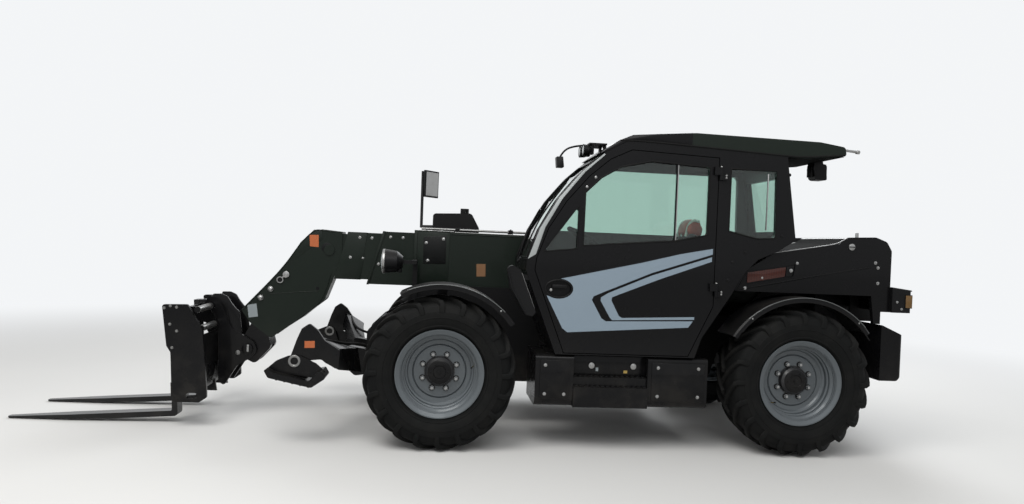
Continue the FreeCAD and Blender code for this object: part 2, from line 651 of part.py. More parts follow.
def counterweight():
    """Cast weight across the rear with chamfered corners, a raised front and a tow jaw."""
    half = WEIGHT_HALF_WIDTH
    plan = [
        (-3400, -380), (WEIGHT_FRONT, -400), (WEIGHT_FRONT, -half), (REAR_END + 60, -half, 40),
        (REAR_END, -half + 120, 60), (REAR_END, half - 120, 60), (REAR_END + 60, half, 40),
        (WEIGHT_FRONT, half), (WEIGHT_FRONT, 400), (-3400, 380),
    ]
    side = [
        (-3400, WEIGHT_BOTTOM), (REAR_END + 90, WEIGHT_BOTTOM, 30), (REAR_END + 40, WEIGHT_BOTTOM + 45, 30),
        (REAR_END, WEIGHT_TOP - 190, 40), (REAR_END, WEIGHT_TOP - 100, 40), (REAR_END + 230, WEIGHT_TOP, 40),
        (-3400, WEIGHT_TOP),
    ]
    solid = prism_z(plan, WEIGHT_BOTTOM, WEIGHT_TOP).common(prism_y(side, -half - 10, half + 10))
    keep_out = block(-3300, BOOM_PIVOT_X - TOWER_RADIUS, -FRAME_HALF_WIDTH, FRAME_HALF_WIDTH, 0, FAR)
    jaw = block(REAR_END - 10, TOW_X + 70, -90, 90, TOW_Z - TOW_JAW / 2, TOW_Z + TOW_JAW / 2)
    notch_low = block(REAR_END - 10, TOW_X + 70, -90, 90, WEIGHT_BOTTOM - 5, TOW_Z - TOW_JAW / 2 - TOW_LUG)
    pin_hole = bar(V(TOW_X, 0, WEIGHT_BOTTOM - 10), V(TOW_X, 0, TOW_Z + TOW_JAW / 2 + TOW_LUG), TOW_BORE_RADIUS)
    return cut(solid, keep_out, jaw, notch_low, pin_hole)


# Boom

def section_profile(index):
    """Side outline of one boom section's tube, from its row in the table."""
    _, _, low, top, rear, front_top, front_low = BOOM_SECTIONS[index]
    return [(rear, low), (front_low, low), (front_top, top), (rear, top)]


def section_tube(index):
    """One boom section as an open box tube, with wear pads inside its mouth for the next section."""
    _, half, low, top, rear, front_top, front_low = BOOM_SECTIONS[index]
    tube = prism_y(section_profile(index), -half, half)
    hollow_half = half - BOOM_WALL
    hollow = block(rear - 50, max(front_top, front_low) + 50, -hollow_half, hollow_half,
                   low + BOOM_WALL, top - BOOM_WALL)
    tube = cut(tube, hollow)
    if index + 1 >= len(BOOM_SECTIONS):
        return tube
    _, next_half, next_low, next_top, _, _, _ = BOOM_SECTIONS[index + 1]
    front = min(front_top, front_low) - 20
    rear_end = front - PAD_LENGTH
    pads = []
    for side in (1, -1):
        pads.append(block(rear_end, front, side * (next_half + SLIDE_FIT), side * (hollow_half + 3),
                          next_low + 60, next_top - 60))
    pads.append(block(rear_end, front, -next_half + 30, next_half - 30, low + 3, next_low - SLIDE_FIT))
    pads.append(block(rear_end, front, -next_half + 30, next_half - 30, next_top + SLIDE_FIT, top - 3))
    return fuse(tube, *pads)


def boom_outer():
    """Outer section: tube, tail with the pivot pin, front collar and the ears for the lift cylinder."""
    _, half, low, top, rear, front, _ = BOOM_SECTIONS[0]
    tube = section_tube(0)
    tail_profile = [
        (rear + 20, low), (rear + 20, top), (rear - 60, top), (BOOM_PIVOT_X, BOOM_PIVOT_Z + BOOM_TAIL_RADIUS, 60),
        (BOOM_PIVOT_X - BOOM_TAIL_RADIUS, BOOM_PIVOT_Z + BOOM_TAIL_RADIUS, BOOM_TAIL_RADIUS - 5),
        (BOOM_PIVOT_X - BOOM_TAIL_RADIUS, BOOM_PIVOT_Z - BOOM_TAIL_RADIUS, 90), (rear - 260, low + 60, 60),
        (rear - 120, low),
    ]
    tail = prism_y(tail_profile, -half, half)
    tail = cut(tail, prism_y([(rear + 25, low + 30), (rear + 25, top - 30), (rear - 250, top - 30),
                              (rear - 400, low + 260), (rear - 150, low + 30)], -half + 20, half - 20))
    pin_end = FRAME_HALF_WIDTH + 26
    pin = bar_y(BOOM_PIVOT_X, BOOM_PIVOT_Z, -pin_end, pin_end, BOOM_PIN_RADIUS)
    hub = bar_y(BOOM_PIVOT_X, BOOM_PIVOT_Z, -half - 18, half + 18, BOOM_PIN_RADIUS + 35)
    pieces = [tube, tail, pin, hub]
    for side in (1, -1):
        inner = side * (LIFT_EYE_HALF + GAP)
        outer = side * (LIFT_EYE_HALF + GAP + 26)
        ear = prism_y([(LIFT_EYE_X - 190, low + 4), (LIFT_EYE_X + 190, low + 4),
                       (LIFT_EYE_X + 66, LIFT_EYE_Z - 66, 60), (LIFT_EYE_X - 66, LIFT_EYE_Z - 66, 60)],
                       inner, outer)
        stub = bar_y(LIFT_EYE_X, LIFT_EYE_Z, side * (LIFT_EYE_HALF + GAP), outer + side * 16, LIFT_PIN_RADIUS)
        pieces += [ear, stub]
    return fuse(*pieces)


# The goose-neck's lower end, where the tilt bracket is welded on: x, z
NECK_FOOT_REAR = (1440.0, 680.0)
NECK_FOOT_FRONT = (1610.0, 800.0)


def on_neck_foot(share):
    """A point on the goose-neck's lower end, from its rear corner to its front one."""
    return tuple(rear + (front - rear) * share for rear, front in zip(NECK_FOOT_REAR, NECK_FOOT_FRONT))


def head_profile():
    """Side outline of the goose-neck, from the last tube down to the tilt bracket."""
    low = BOOM_SECTIONS[3][2] + 3
    return [
        (870, low), (870, 1610), (1050, 1625, 30), (1195, 1485, 60), (1490, 1137, 200), (1692, 912, 14),
        (*NECK_FOOT_FRONT, 20), (*NECK_FOOT_REAR, 20), (1190, 855, 80), (1110, 925, 60), (1000, 1015, 60),
        (918, low, 40),
    ]


def boom_head():
    """Innermost section: its tube and the goose-neck welded to its front end."""
    neck = prism_y(head_profile(), -HEAD_HALF_WIDTH, HEAD_HALF_WIDTH)
    boss = bar_y(975, 1450, -HEAD_HALF_WIDTH - 12, HEAD_HALF_WIDTH + 12, 45)
    return fuse(section_tube(3), neck, boss)


def tilt_bracket():
    """Two ears under the goose-neck with the pin that carries the tool carrier."""
    ear = [
        on_neck_foot(0.08), on_neck_foot(0.97), (1660, 690, 60), (TILT_PIVOT_X + TILT_EYE_RADIUS, TILT_PIVOT_Z, 60),
        (TILT_PIVOT_X + 30, TILT_PIVOT_Z - 84, 60), (1560, 455, 40), (1432, 600, 50),
    ]
    pieces = []
    inner = 58.0
    for side in (1, -1):
        pieces.append(prism_y(ear, side * inner, side * HEAD_HALF_WIDTH))
    pin = bar_y(TILT_PIVOT_X, TILT_PIVOT_Z, -CARRIER_PLATE_INNER - CARRIER_PLATE - 12,
                CARRIER_PLATE_INNER + CARRIER_PLATE + 12, TILT_PIN_RADIUS)
    web = prism_y([on_neck_foot(0.08), on_neck_foot(0.5), (1500, 640), (1436, 610)], -inner - 2, inner + 2)
    return fuse(*pieces, pin, web)


# Tool end

def tool_carrier():
    """Two hook plates on the tilt pin, tied by a cross tube, that hold the fork carriage."""
    plate = [
        (TILT_PIVOT_X - 50, TILT_PIVOT_Z + 60, 50), (1760, 760, 60), (1866, 1000, 30),
        (1950, 1035, 40), (1985, 960, 20),
        (1968, 925), (1930 + CARRIAGE_TUBE_RADIUS + 0.5, 940), (1930, 940 + CARRIAGE_TUBE_RADIUS + 0.5, 12),
        (1930 - CARRIAGE_TUBE_RADIUS - 0.5, 940), (1868, 700, 60), (1850, 300, 20), (1800, 270, 20), (1700, 440, 80),
        (TILT_PIVOT_X - 20, TILT_PIVOT_Z - 84, 60), (TILT_PIVOT_X - 84, TILT_PIVOT_Z - 20, 50),
    ]
    pieces = []
    for side in (1, -1):
        pieces.append(prism_y(plate, side * CARRIER_PLATE_INNER, side * (CARRIER_PLATE_INNER + CARRIER_PLATE)))
    inner = CARRIER_PLATE_INNER + 2
    pieces.append(bar_y(1790, 420, -inner, inner, 30))
    pieces.append(block(1800, 1840, -inner, inner, 470, 640))
    body = fuse(*pieces)
    bore = bar_y(TILT_PIVOT_X, TILT_PIVOT_Z, -200, 200, TILT_PIN_RADIUS + PIN_FIT)
    rooms = [bar_y(x, z, -200, 200, CARRIAGE_TUBE_RADIUS) for x, z in CARRIAGE_TUBES]
    return cut(body, bore, *rooms)


def fork_place(shape):
    """A piece drawn in the forks' own frame, heel at the origin, set at its tilt on the machine."""
    shape.rotate(V(0, 0, 0), V(0, 1, 0), FORK_TILT)
    shape.translate(V(FORK_HEEL_X, 0, FORK_HEEL_Z))
    return shape


# Carriage tubes: x, z
CARRIAGE_TUBES = ((1930.0, 940.0), (1895.0, 792.0))
BAR_BACK = -FORK_THICKNESS - CARRIAGE_BAR
LOWER_BRACKET = ((1852, 230), (2080, 230), (2080, 330), (1870, 330))
UPPER_BRACKET = ((1858, 780), (1940, 930), (2125, 930), (2115, 830))
UPPER_BAR = (745.0, 865.0)
LOWER_BAR = (190.0, 300.0)


def fork_carriage():
    """Side plates joined by two tubes behind and two fork bars in front."""
    plate = [
        (2195, 976, 20), (2000, 982, 20), (1880, 785, 60), (1832, 330, 20), (1828, 245, 20), (1885, 205, 20),
        (2080, 205, 20), (2118, 600, 30), (2150, 650, 20),
    ]
    pieces = []
    inner = CARRIAGE_HALF_WIDTH - CARRIAGE_PLATE
    for side in (1, -1):
        body = prism_y(plate, side * inner, side * CARRIAGE_HALF_WIDTH)
        slot = prism_y([(1900, 236, 20), (1985, 236, 20), (1985, 280, 20), (1900, 280, 20)], side * 500, side * 600)
        pieces.append(body.cut(slot))
    for x, z in CARRIAGE_TUBES:
        pieces.append(bar_y(x, z, -inner - 3, inner + 3, CARRIAGE_TUBE_RADIUS))
    for low, high in (UPPER_BAR, LOWER_BAR):
        pieces.append(fork_place(block(BAR_BACK, -FORK_THICKNESS, -inner - 3, inner + 3, low, high)))
    for side in (1, -1):
        pieces.append(prism_y(LOWER_BRACKET, side * 160, side * 180))
        pieces.append(prism_y(UPPER_BRACKET, side * 160, side * 180))
    pieces.append(block(CARRIAGE_SHEET_X, CARRIAGE_SHEET_X + CARRIAGE_SHEET, -inner - 3, inner + 3, 300, 742))
    return fuse(*pieces)


def fork():
    """One fork: tapered blade, shank, and hooks over and under the bars."""
    half = FORK_WIDTH / 2
    tip_half = FORK_TIP_WIDTH / 2
    back = -FORK_THICKNESS
    side = prism_y([(back, 0, 30), (FORK_LENGTH * 0.35, 0), (FORK_LENGTH, FORK_THICKNESS - FORK_TIP_THICKNESS),
                    (FORK_LENGTH, FORK_THICKNESS), (0, FORK_THICKNESS, 12), (0, FORK_SHANK), (back, FORK_SHANK)],
                   -half, half)
    taper = FORK_LENGTH * 0.62
    plan = prism_z([(back - 1, -half), (taper, -half, 200), (FORK_LENGTH, -tip_half, 20),
                    (FORK_LENGTH, tip_half, 20), (taper, half, 200), (back - 1, half)], -1, FORK_SHANK + 1)
    blade = side.common(plan)
    hook_back = BAR_BACK - 22
    high = UPPER_BAR[1]
    upper = prism_y([(back + 1, high), (back + 1, FORK_SHANK), (hook_back, FORK_SHANK, 8), (hook_back, high - 24),
                     (BAR_BACK - 4, high - 24), (BAR_BACK - 4, high)], -half + 8, half - 8)
    low = LOWER_BAR[0]
    lower = prism_y([(back + 1, low - 4), (back + 1, low - 44), (hook_back, low - 44, 8), (hook_back, low + 16),
                     (BAR_BACK - 4, low + 16), (BAR_BACK - 4, low - 4)], -half + 8, half - 8)
    body = fork_place(fuse(blade, upper, lower))
    body.translate(V(0, FORK_SPREAD, 0))
    return body


# Lift cylinder

LIFT_START = V(LIFT_BASE_X, 0, LIFT_BASE_Z)
LIFT_END = V(LIFT_EYE_X, 0, LIFT_EYE_Z)
LIFT_LENGTH = (LIFT_END - LIFT_START).Length
LIFT_ALONG = (LIFT_END - LIFT_START).normalize()
LIFT_BARREL_LENGTH = LIFT_LENGTH - LIFT_ROD_SHOWN


def lift_point(distance):
    """A point on the lift cylinder's axis, measured from its base pin."""
    return LIFT_START + LIFT_ALONG * distance


def lift_cylinder_barrel():
    """Barrel with its base eye and gland, bored for the rod and piston."""
    eye = bar_y(LIFT_BASE_X, LIFT_BASE_Z, -LIFT_EYE_HALF, LIFT_EYE_HALF, LIFT_PIN_RADIUS + 28)
    barrel = bar(lift_point(40), lift_point(LIFT_BARREL_LENGTH), LIFT_BARREL_RADIUS)
    gland = bar(lift_point(LIFT_BARREL_LENGTH - 60), lift_point(LIFT_BARREL_LENGTH + 12), LIFT_BARREL_RADIUS + 5)
    bore = bar(lift_point(110), lift_point(LIFT_BARREL_LENGTH - 40), LIFT_BORE_RADIUS)
    neck = bar(lift_point(LIFT_BARREL_LENGTH - 50), lift_point(LIFT_BARREL_LENGTH + 20), LIFT_ROD_RADIUS + PIN_FIT)
    pin_bore = bar_y(LIFT_BASE_X, LIFT_BASE_Z, -LIFT_EYE_HALF - 5, LIFT_EYE_HALF + 5, LIFT_PIN_RADIUS + PIN_FIT)
    return cut(fuse(barrel, gland, eye), bore, neck, pin_bore)


def lift_cylinder_rod():
    """Rod with its piston inside the barrel and the eye between the boom's ears."""
    rod = bar(lift_point(130), lift_point(LIFT_LENGTH - 20), LIFT_ROD_RADIUS)
    piston = bar(lift_point(125), lift_point(185), LIFT_BORE_RADIUS - PIN_FIT)
    eye = bar_y(LIFT_EYE_X, LIFT_EYE_Z, -LIFT_EYE_HALF, LIFT_EYE_HALF, LIFT_EYE_RADIUS)
    return fuse(rod, piston, eye)


# Stabilizers, drawn on the left

def stabilizer_leg():
    """Leg: hub and arm beside the nose, box beam outwards and the plate that carries the pad."""
    inner = LEG_INNER
    outer = LEG_INNER + LEG_ARM_WIDTH
    hub = bar_y(LEG_PIVOT_X, LEG_PIVOT_Z, inner, outer, LEG_HUB_RADIUS)
    arm = prism_y([(LEG_PIVOT_X - 20, LEG_PIVOT_Z + 52, 30), (LEG_PIVOT_X + 30, LEG_PIVOT_Z - 50, 30),
                   (700, 410, 40), (790, 490, 30), (770, 660, 30), (640, 640, 40)], inner, outer)
    root = rounded_wire(with_radius([(640, 440), (730, 440), (790, 520), (770, 650), (680, 640)]),
                        lambda p: V(p.x, outer - 20, p.y))
    end = rounded_wire(with_radius([(760, 560), (860, 610), (960, 690), (930, 820), (760, 720)]),
                       lambda p: V(p.x, LEG_PLATE_Y + 2, p.y))
    beam = Part.makeLoft([root, end], True, True)
    plate = prism_y([
        (752, 712, 20), (867, 782, 60), (921, 860, 60), (985, 908, 26), (1040, 868, 30), (1072, 790, 60),
        (PAD_PIVOT_X + PAD_EYE_RADIUS, PAD_PIVOT_Z, 40), (PAD_PIVOT_X, PAD_PIVOT_Z - PAD_EYE_RADIUS, 30),
        (PAD_PIVOT_X - 60, PAD_PIVOT_Z, 30), (890, 640, 40), (760, 560, 20),
    ], LEG_PLATE_Y, LEG_PLATE_Y + LEG_PLATE)
    body = fuse(hub, arm, beam, plate)
    hub_bore = bar_y(LEG_PIVOT_X, LEG_PIVOT_Z, inner - 5, outer + 5, LEG_PIN_RADIUS + PIN_FIT)
    pad_bore = bar_y(PAD_PIVOT_X, PAD_PIVOT_Z, LEG_PLATE_Y - 5, LEG_PLATE_Y + LEG_PLATE + 5,
                     PAD_PIN_RADIUS + PIN_FIT)
    return cut(body, hub_bore, pad_bore)


def stabilizer_pad():
    """Boat-shaped ground pad with two lugs and a pin through the leg's plate."""
    middle = LEG_PLATE_Y + LEG_PLATE / 2
    sole = prism_y([(838, 515, 16), (940, 443, 30), (1255, 510, 30), (1288, 568, 10), (1262, 572), (1210, 545, 20),
                    (960, 490, 20), (900, 560), (868, 566, 8)], middle - PAD_HALF_WIDTH, middle + PAD_HALF_WIDTH)
    pieces = [sole]
    for side in (1, -1):
        start = middle + side * (LEG_PLATE / 2 + GAP)
        eye = [(PAD_PIVOT_X + PAD_EYE_RADIUS, PAD_PIVOT_Z + 40, 38), (PAD_PIVOT_X - PAD_EYE_RADIUS, PAD_PIVOT_Z + 40, 38)]
        if side > 0:
            outline = [(880, 495), (1240, 545), (1266, 578, 10), (1214, 626, 60), *eye, (922, 612, 30), (852, 552, 10)]
        else:
            outline = [(980, 480), (1180, 520), *eye]
        lug = prism_y(outline, start, start + side * 14)
        pieces.append(lug)
    pin = bar_y(PAD_PIVOT_X, PAD_PIVOT_Z, middle - LEG_PLATE / 2 - GAP - 16, middle + LEG_PLATE / 2 + GAP + 16,
                PAD_PIN_RADIUS)
    return fuse(*pieces, pin)


# Cab

CAB_SIDE = [
    (-870, BODY_FLOOR), (-620, 1375), (-625, 1460), (-710, 1700), (-850, 1945), (-1020, 2150), (-1190, 2300),
    (-1375, 2400), (-2640, 2340), (-2735, 1690), (-2600, 1600), (-2440, 1530), (-2330, 1420), (-2230, 1240),
    (-2010, 900), (-1960, BODY_FLOOR),
]
DOOR_SIDE = [
    (-935, BODY_FLOOR + 14), (-690, 1380), (-700, 1470), (-782, 1700), (-915, 1915), (-1080, 2110), (-1235, 2245),
    (-1400, 2325), (-2088, 2300), (-2088, 1150), (-1905, BODY_FLOOR + 14),
]
DOOR_WINDOW = [
    (-1050, 1580, 20), (-1050, 1985, 20), (-1200, 2130, 60), (-1320, 2195, 60), (-1560, 2250, 60), (-2020, 2225, 30),
    (-2020, 1700, 30), (-1770, 1645, 60),
]
QUARTER_WINDOW = [(-750, 1525, 14), (-1005, 1880, 14), (-1005, 1552, 14)]
# Door hinges: foot and height of the frame's lugs, then of the door's barrels
HINGE_LUGS = ((1230.0, 36.0), (2130.0, 36.0))
HINGE_BARRELS = ((1270.0, 60.0), (2170.0, 60.0))
REAR_QUARTER = [(-2190, 1740, 30), (-2190, 2225, 30), (-2560, 2225, 40), (-2570, 1700, 40), (-2420, 1690, 40)]
RIGHT_WINDOW = [
    (-760, 1700, 40), (-880, 1930, 60), (-1050, 2120, 60), (-1240, 2240, 60), (-2560, 2240, 40), (-2570, 1700, 40),
]


def cab_ring(outer_depth, inner_depth):
    """The cab's shell across its width, between two depths under its outline."""
    low = CAB_INNER + CAB_WALL
    high = CAB_OUTER - CAB_WALL
    return cut(prism_y(inset(CAB_SIDE, outer_depth) if outer_depth else CAB_SIDE, low, high),
               prism_y(inset(CAB_SIDE, inner_depth), low - 5, high + 5))


FLOOR_REGION = [(0, 0), (0, 800), (-1850, 800), (-1850, 1630), (-FAR, 1630), (-FAR, 0)]
FRONT_REGION = [(0, 800), (0, FAR), (-1150, FAR), (-1150, 2000), (-1500, 800)]
REAR_REGION = [(-2300, 1630), (-2300, 2240), (-FAR, 2240), (-FAR, 1630)]
ROOF_REGION = [(-1150, 2200), (-1150, FAR), (-FAR, FAR), (-FAR, 2240), (-2300, 2240), (-2300, 2200)]


def windscreen_room():
    """The opening for the windscreen."""
    side = CAB_WALL + 30
    return block(0, -1140, CAB_INNER + side, CAB_OUTER - side, 1475, 2240)


def rear_window_room():
    """The opening for the rear window."""
    side = CAB_WALL + 60
    return block(-2500, -FAR, CAB_INNER + side, CAB_OUTER - side, 1760, 2180)


def cab_floor():
    """Floor plate, rising behind the seat over the rear wheel."""
    return cab_ring(0, CAB_WALL).common(prism_y(FLOOR_REGION, 0, FAR))


def cab_front_frame():
    """Curved front wall and pillars with the windscreen's opening."""
    return cab_ring(0, CAB_WALL).common(prism_y(FRONT_REGION, 0, FAR)).cut(windscreen_room())


def cab_rear_frame():
    """Rear wall with the opening for its window."""
    return cab_ring(0, CAB_WALL).common(prism_y(REAR_REGION, 0, FAR)).cut(rear_window_room())


def cab_side_frames():
    """Left frame round the door and the rear quarter window, and the right wall beside the boom."""
    left = prism_y(CAB_SIDE, CAB_OUTER - CAB_WALL, CAB_OUTER)
    doorway = prism_y(inset(DOOR_SIDE, -GAP), CAB_OUTER - CAB_WALL - 5, CAB_OUTER + 5)
    quarter = prism_y(REAR_QUARTER, CAB_OUTER - CAB_WALL - 5, CAB_OUTER + 5)
    lugs = [hinge_barrel(z, height, -1) for z, height in HINGE_LUGS]
    pins = [bar(V(DOOR_HINGE_X, DOOR_HINGE_Y, z + 10), V(DOOR_HINGE_X, DOOR_HINGE_Y, barrel_z + height),
                DOOR_PIN_RADIUS) for (z, _), (barrel_z, height) in zip(HINGE_LUGS, HINGE_BARRELS)]
    left = fuse(cut(left, doorway, quarter), *lugs, *pins)
    right = prism_y(CAB_SIDE, CAB_INNER, CAB_INNER + CAB_WALL)
    right = right.cut(prism_y(RIGHT_WINDOW, CAB_INNER - 5, CAB_INNER + CAB_WALL + 5))
    return Part.makeCompound([left, right])


def hinge_barrel(z, height, side):
    """A hinge leaf on the skin, side -1 behind the axis or 1 ahead of it, rounded about the axis."""
    x = DOOR_HINGE_X
    barrel = bar(V(x, DOOR_HINGE_Y, z), V(x, DOOR_HINGE_Y, z + height), DOOR_HINGE_RADIUS)
    leaf = block(x, x + side * 52, CAB_OUTER + GAP, DOOR_HINGE_Y + 8, z, z + height)
    foot = block(x + side * 20, x + side * 52, CAB_OUTER, CAB_OUTER + GAP, z, z + height)
    return fuse(barrel, leaf, foot)


ROOF_SHELL = [
    (-1165, 2300, 4), (-1290, 2390, 60), (-1400, 2440, 80), (-1900, 2485, 300), (-2900, 2470, 120), (-3110, 2440, 30),
    (-3120, 2370, 20), (-2780, 2335, 60), (-2640, 2340), (-1375, 2400), (-1190, 2300),
]


def cab_roof():
    """Roof shell over the cab with a long overhang behind it."""
    body = prism_y(ROOF_SHELL, CAB_INNER, CAB_OUTER)
    ceiling = cab_ring(0, CAB_WALL).common(prism_y(ROOF_REGION, 0, FAR))
    return fuse(body, ceiling)


def cab_glass():
    """Windscreen, rear, right and rear quarter windows, each filling its opening."""
    screen = cab_ring(14, 14 + GLASS).common(windscreen_room())
    rear = cab_ring(14, 14 + GLASS).common(rear_window_room())
    quarter = prism_y(REAR_QUARTER, CAB_OUTER - 20, CAB_OUTER - 20 + GLASS)
    right = prism_y(RIGHT_WINDOW, CAB_INNER + 14, CAB_INNER + 14 + GLASS)
    return Part.makeCompound([screen, rear, quarter, right])


def door_frame():
    """Door panel with its two window openings, the recess of its handle and its hinge barrels."""
    inner = CAB_OUTER - DOOR_THICKNESS
    panel = prism_y(DOOR_SIDE, inner, CAB_OUTER)
    windows = [prism_y(outline, inner - 5, CAB_OUTER + 5) for outline in (DOOR_WINDOW, QUARTER_WINDOW)]
    recess = Part.Ellipse(V(-875, CAB_OUTER - 22, 1245), 100, 64).toShape()
    recess.rotate(V(-875, CAB_OUTER - 22, 1245), V(1, 0, 0), 90)
    recess = Part.Face(Part.Wire([recess])).extrude(V(0, 30, 0))
    grip = block(-930, -830, CAB_OUTER - 24, CAB_OUTER - 4, 1250, 1275)
    divider = block(DIVIDER_X - 9, DIVIDER_X + 9, CAB_OUTER - 17, CAB_OUTER - 5, 1600, 2280)
    barrels = [hinge_barrel(z, height, 1) for z, height in HINGE_BARRELS]
    bores = [bar(V(DOOR_HINGE_X, DOOR_HINGE_Y, z - 5), V(DOOR_HINGE_X, DOOR_HINGE_Y, z + height + 5),
                 DOOR_PIN_RADIUS + PIN_FIT) for z, height in HINGE_BARRELS]
    return cut(fuse(cut(panel, recess, *windows), grip, divider, *barrels), *bores)


def door_glass():
    """The door's two panes."""
    low = CAB_OUTER - 24
    return Part.makeCompound([prism_y(outline, low, low + GLASS) for outline in (DOOR_WINDOW, QUARTER_WINDOW)])


def seat():
    """Driver's seat: pedestal, cushion, back and headrest."""
    middle = (CAB_INNER + CAB_OUTER) / 2
    floor = BODY_FLOOR + CAB_WALL
    pedestal = block(-1560, -1860, middle - 180, middle + 180, floor, 1180)
    cushion = prism_y([(-1450, 1170, 40), (-1450, 1290, 40), (-1930, 1260, 30), (-1930, 1160, 30)],
                      middle - 250, middle + 250)
    back = prism_y([(-1880, 1190, 20), (-1960, 1720, 50), (-2060, 1730, 50), (-2010, 1190, 20)],
                   middle - 240, middle + 240)
    headrest = prism_y([(-1960, 1740, 30), (-1985, 1880, 30), (-2060, 1880, 30), (-2050, 1740, 30)],
                       middle - 130, middle + 130)
    stalks = block(-2020, -2000, middle - 60, middle + 60, 1700, 1760)
    return fuse(pedestal, cushion, back, stalks, headrest)


def steering_column():
    """Column from the floor with the steering wheel on its end."""
    middle = (CAB_INNER + CAB_OUTER) / 2
    foot = V(-1010, middle, BODY_FLOOR + CAB_WALL)
    end = V(-1175, middle, 1625)
    column = bar(foot - (end - foot) * 0.1, end, 42).common(block(0, -FAR, 0, FAR, foot.z, FAR))
    ring = Part.makeTorus(190, 15, end, V(-0.55, 0, 1.0))
    spoke = bar(end - V(0, 190, 0), end + V(0, 190, 0), 12)
    return fuse(column, ring, spoke)


def dashboard():
    """Console in front of the driver, standing on the floor against the front wall."""
    floor = BODY_FLOOR + CAB_WALL
    return prism_y([(-915, floor), (-740, 1290), (-700, 1400, 20), (-980, 1440, 60), (-1055, 1320, 60),
                    (-945, 1150, 60), (-935, floor)], CAB_INNER + CAB_WALL + 10, CAB_OUTER - CAB_WALL - 10)


# Left and right sides

def left_steps():
    """Box under the door with two step ledges between its plain ends."""
    ends = []
    for x_from, x_to in ((SIDE_FRONT, -1020.0), (-1600.0, SIDE_REAR)):
        face = SIDE_HALF_WIDTH - 20
        ends.append(prism_x([(OUTRIGGER_END, SIDE_BOTTOM), (face, SIDE_BOTTOM, 60), (face, BODY_FLOOR - 8, 30),
                             (OUTRIGGER_END, BODY_FLOOR - 8)], x_from, x_to))
    step = prism_x([
        (OUTRIGGER_END, SIDE_BOTTOM), (SIDE_HALF_WIDTH, SIDE_BOTTOM), (SIDE_HALF_WIDTH, 500), (1035, 505),
        (1035, 570), (980, 575), (980, BODY_FLOOR - 8), (OUTRIGGER_END, BODY_FLOOR - 8),
    ], -1020, -1600)
    riser = block(SIDE_FRONT - 100, SIDE_REAR + 150, OUTRIGGER_END, 900, BODY_FLOOR - 8, BODY_FLOOR)
    return fuse(*ends, step, riser)


def fuel_tank():
    """Tank under the engine bay with rounded lower corners."""
    outer = SIDE_HALF_WIDTH - 10
    return prism_x([(-OUTRIGGER_END, SIDE_BOTTOM, 20), (-outer, SIDE_BOTTOM, 60), (-outer, BAY_BOTTOM, 20),
                    (-OUTRIGGER_END, BAY_BOTTOM, 5)], SIDE_FRONT - 20, SIDE_REAR + 20)


# Stations of the hood's hinge: rear end of each lug on the bay and of each barrel on the hood
HOOD_LUGS = (-1000.0, -1850.0)
HOOD_BARRELS = (-955.0, -1805.0)


def bay_profile(depth):
    """Cross-section of the engine bay, drawn in from its outside by a depth."""
    inner = -FRAME_HALF_WIDTH - 5 - depth
    outer = -BAY_OUTER + depth
    return [(inner, BAY_BOTTOM + depth), (inner, BAY_TOP + depth), (-900, BAY_TOP + depth),
            (outer, BAY_SHOULDER + depth), (outer, BAY_BOTTOM + depth)]


def engine_bay():
    """Floor, bulkheads and low side wall round the engine, open above and to the side for the hood."""
    shell = prism_x(bay_profile(0), SIDE_FRONT, SIDE_REAR)
    hollow = prism_x(bay_profile(BAY_WALL), SIDE_FRONT - BAY_WALL, SIDE_REAR + BAY_WALL)
    above = block(SIDE_FRONT - BAY_WALL, SIDE_REAR + BAY_WALL, -FRAME_HALF_WIDTH - 5 - BAY_WALL, -BAY_OUTER - 5,
                  HOOD_SKIRT - GAP, FAR)
    lugs = [hood_hinge(x, 40.0, HOOD_HINGE_Y + 32) for x in HOOD_LUGS]
    pins = [bar(V(x + 10, HOOD_HINGE_Y, HOOD_HINGE_Z), V(x + 85, HOOD_HINGE_Y, HOOD_HINGE_Z), HOOD_PIN_RADIUS)
            for x in HOOD_LUGS]
    return fuse(cut(shell, hollow, above), *lugs, *pins)


def hood_hinge(x, length, edge):
    """A hinge barrel on the hood's axis, with a leaf reaching down or across to an edge."""
    barrel = bar(V(x, HOOD_HINGE_Y, HOOD_HINGE_Z), V(x + length, HOOD_HINGE_Y, HOOD_HINGE_Z), HOOD_HINGE_RADIUS)
    if edge > HOOD_HINGE_Y:
        leaf = block(x, x + length, HOOD_HINGE_Y, edge, BAY_TOP - 5, HOOD_HINGE_Z)
    else:
        leaf = block(x, x + length, edge, HOOD_HINGE_Y, HOOD_HINGE_Z - 8, HOOD_HINGE_Z + 8)
    return fuse(barrel, leaf)


def engine_block():
    """Engine as one plain block on the bay's floor."""
    return block(-1000, -1750, -430, -900, BAY_BOTTOM + BAY_WALL, 1330)


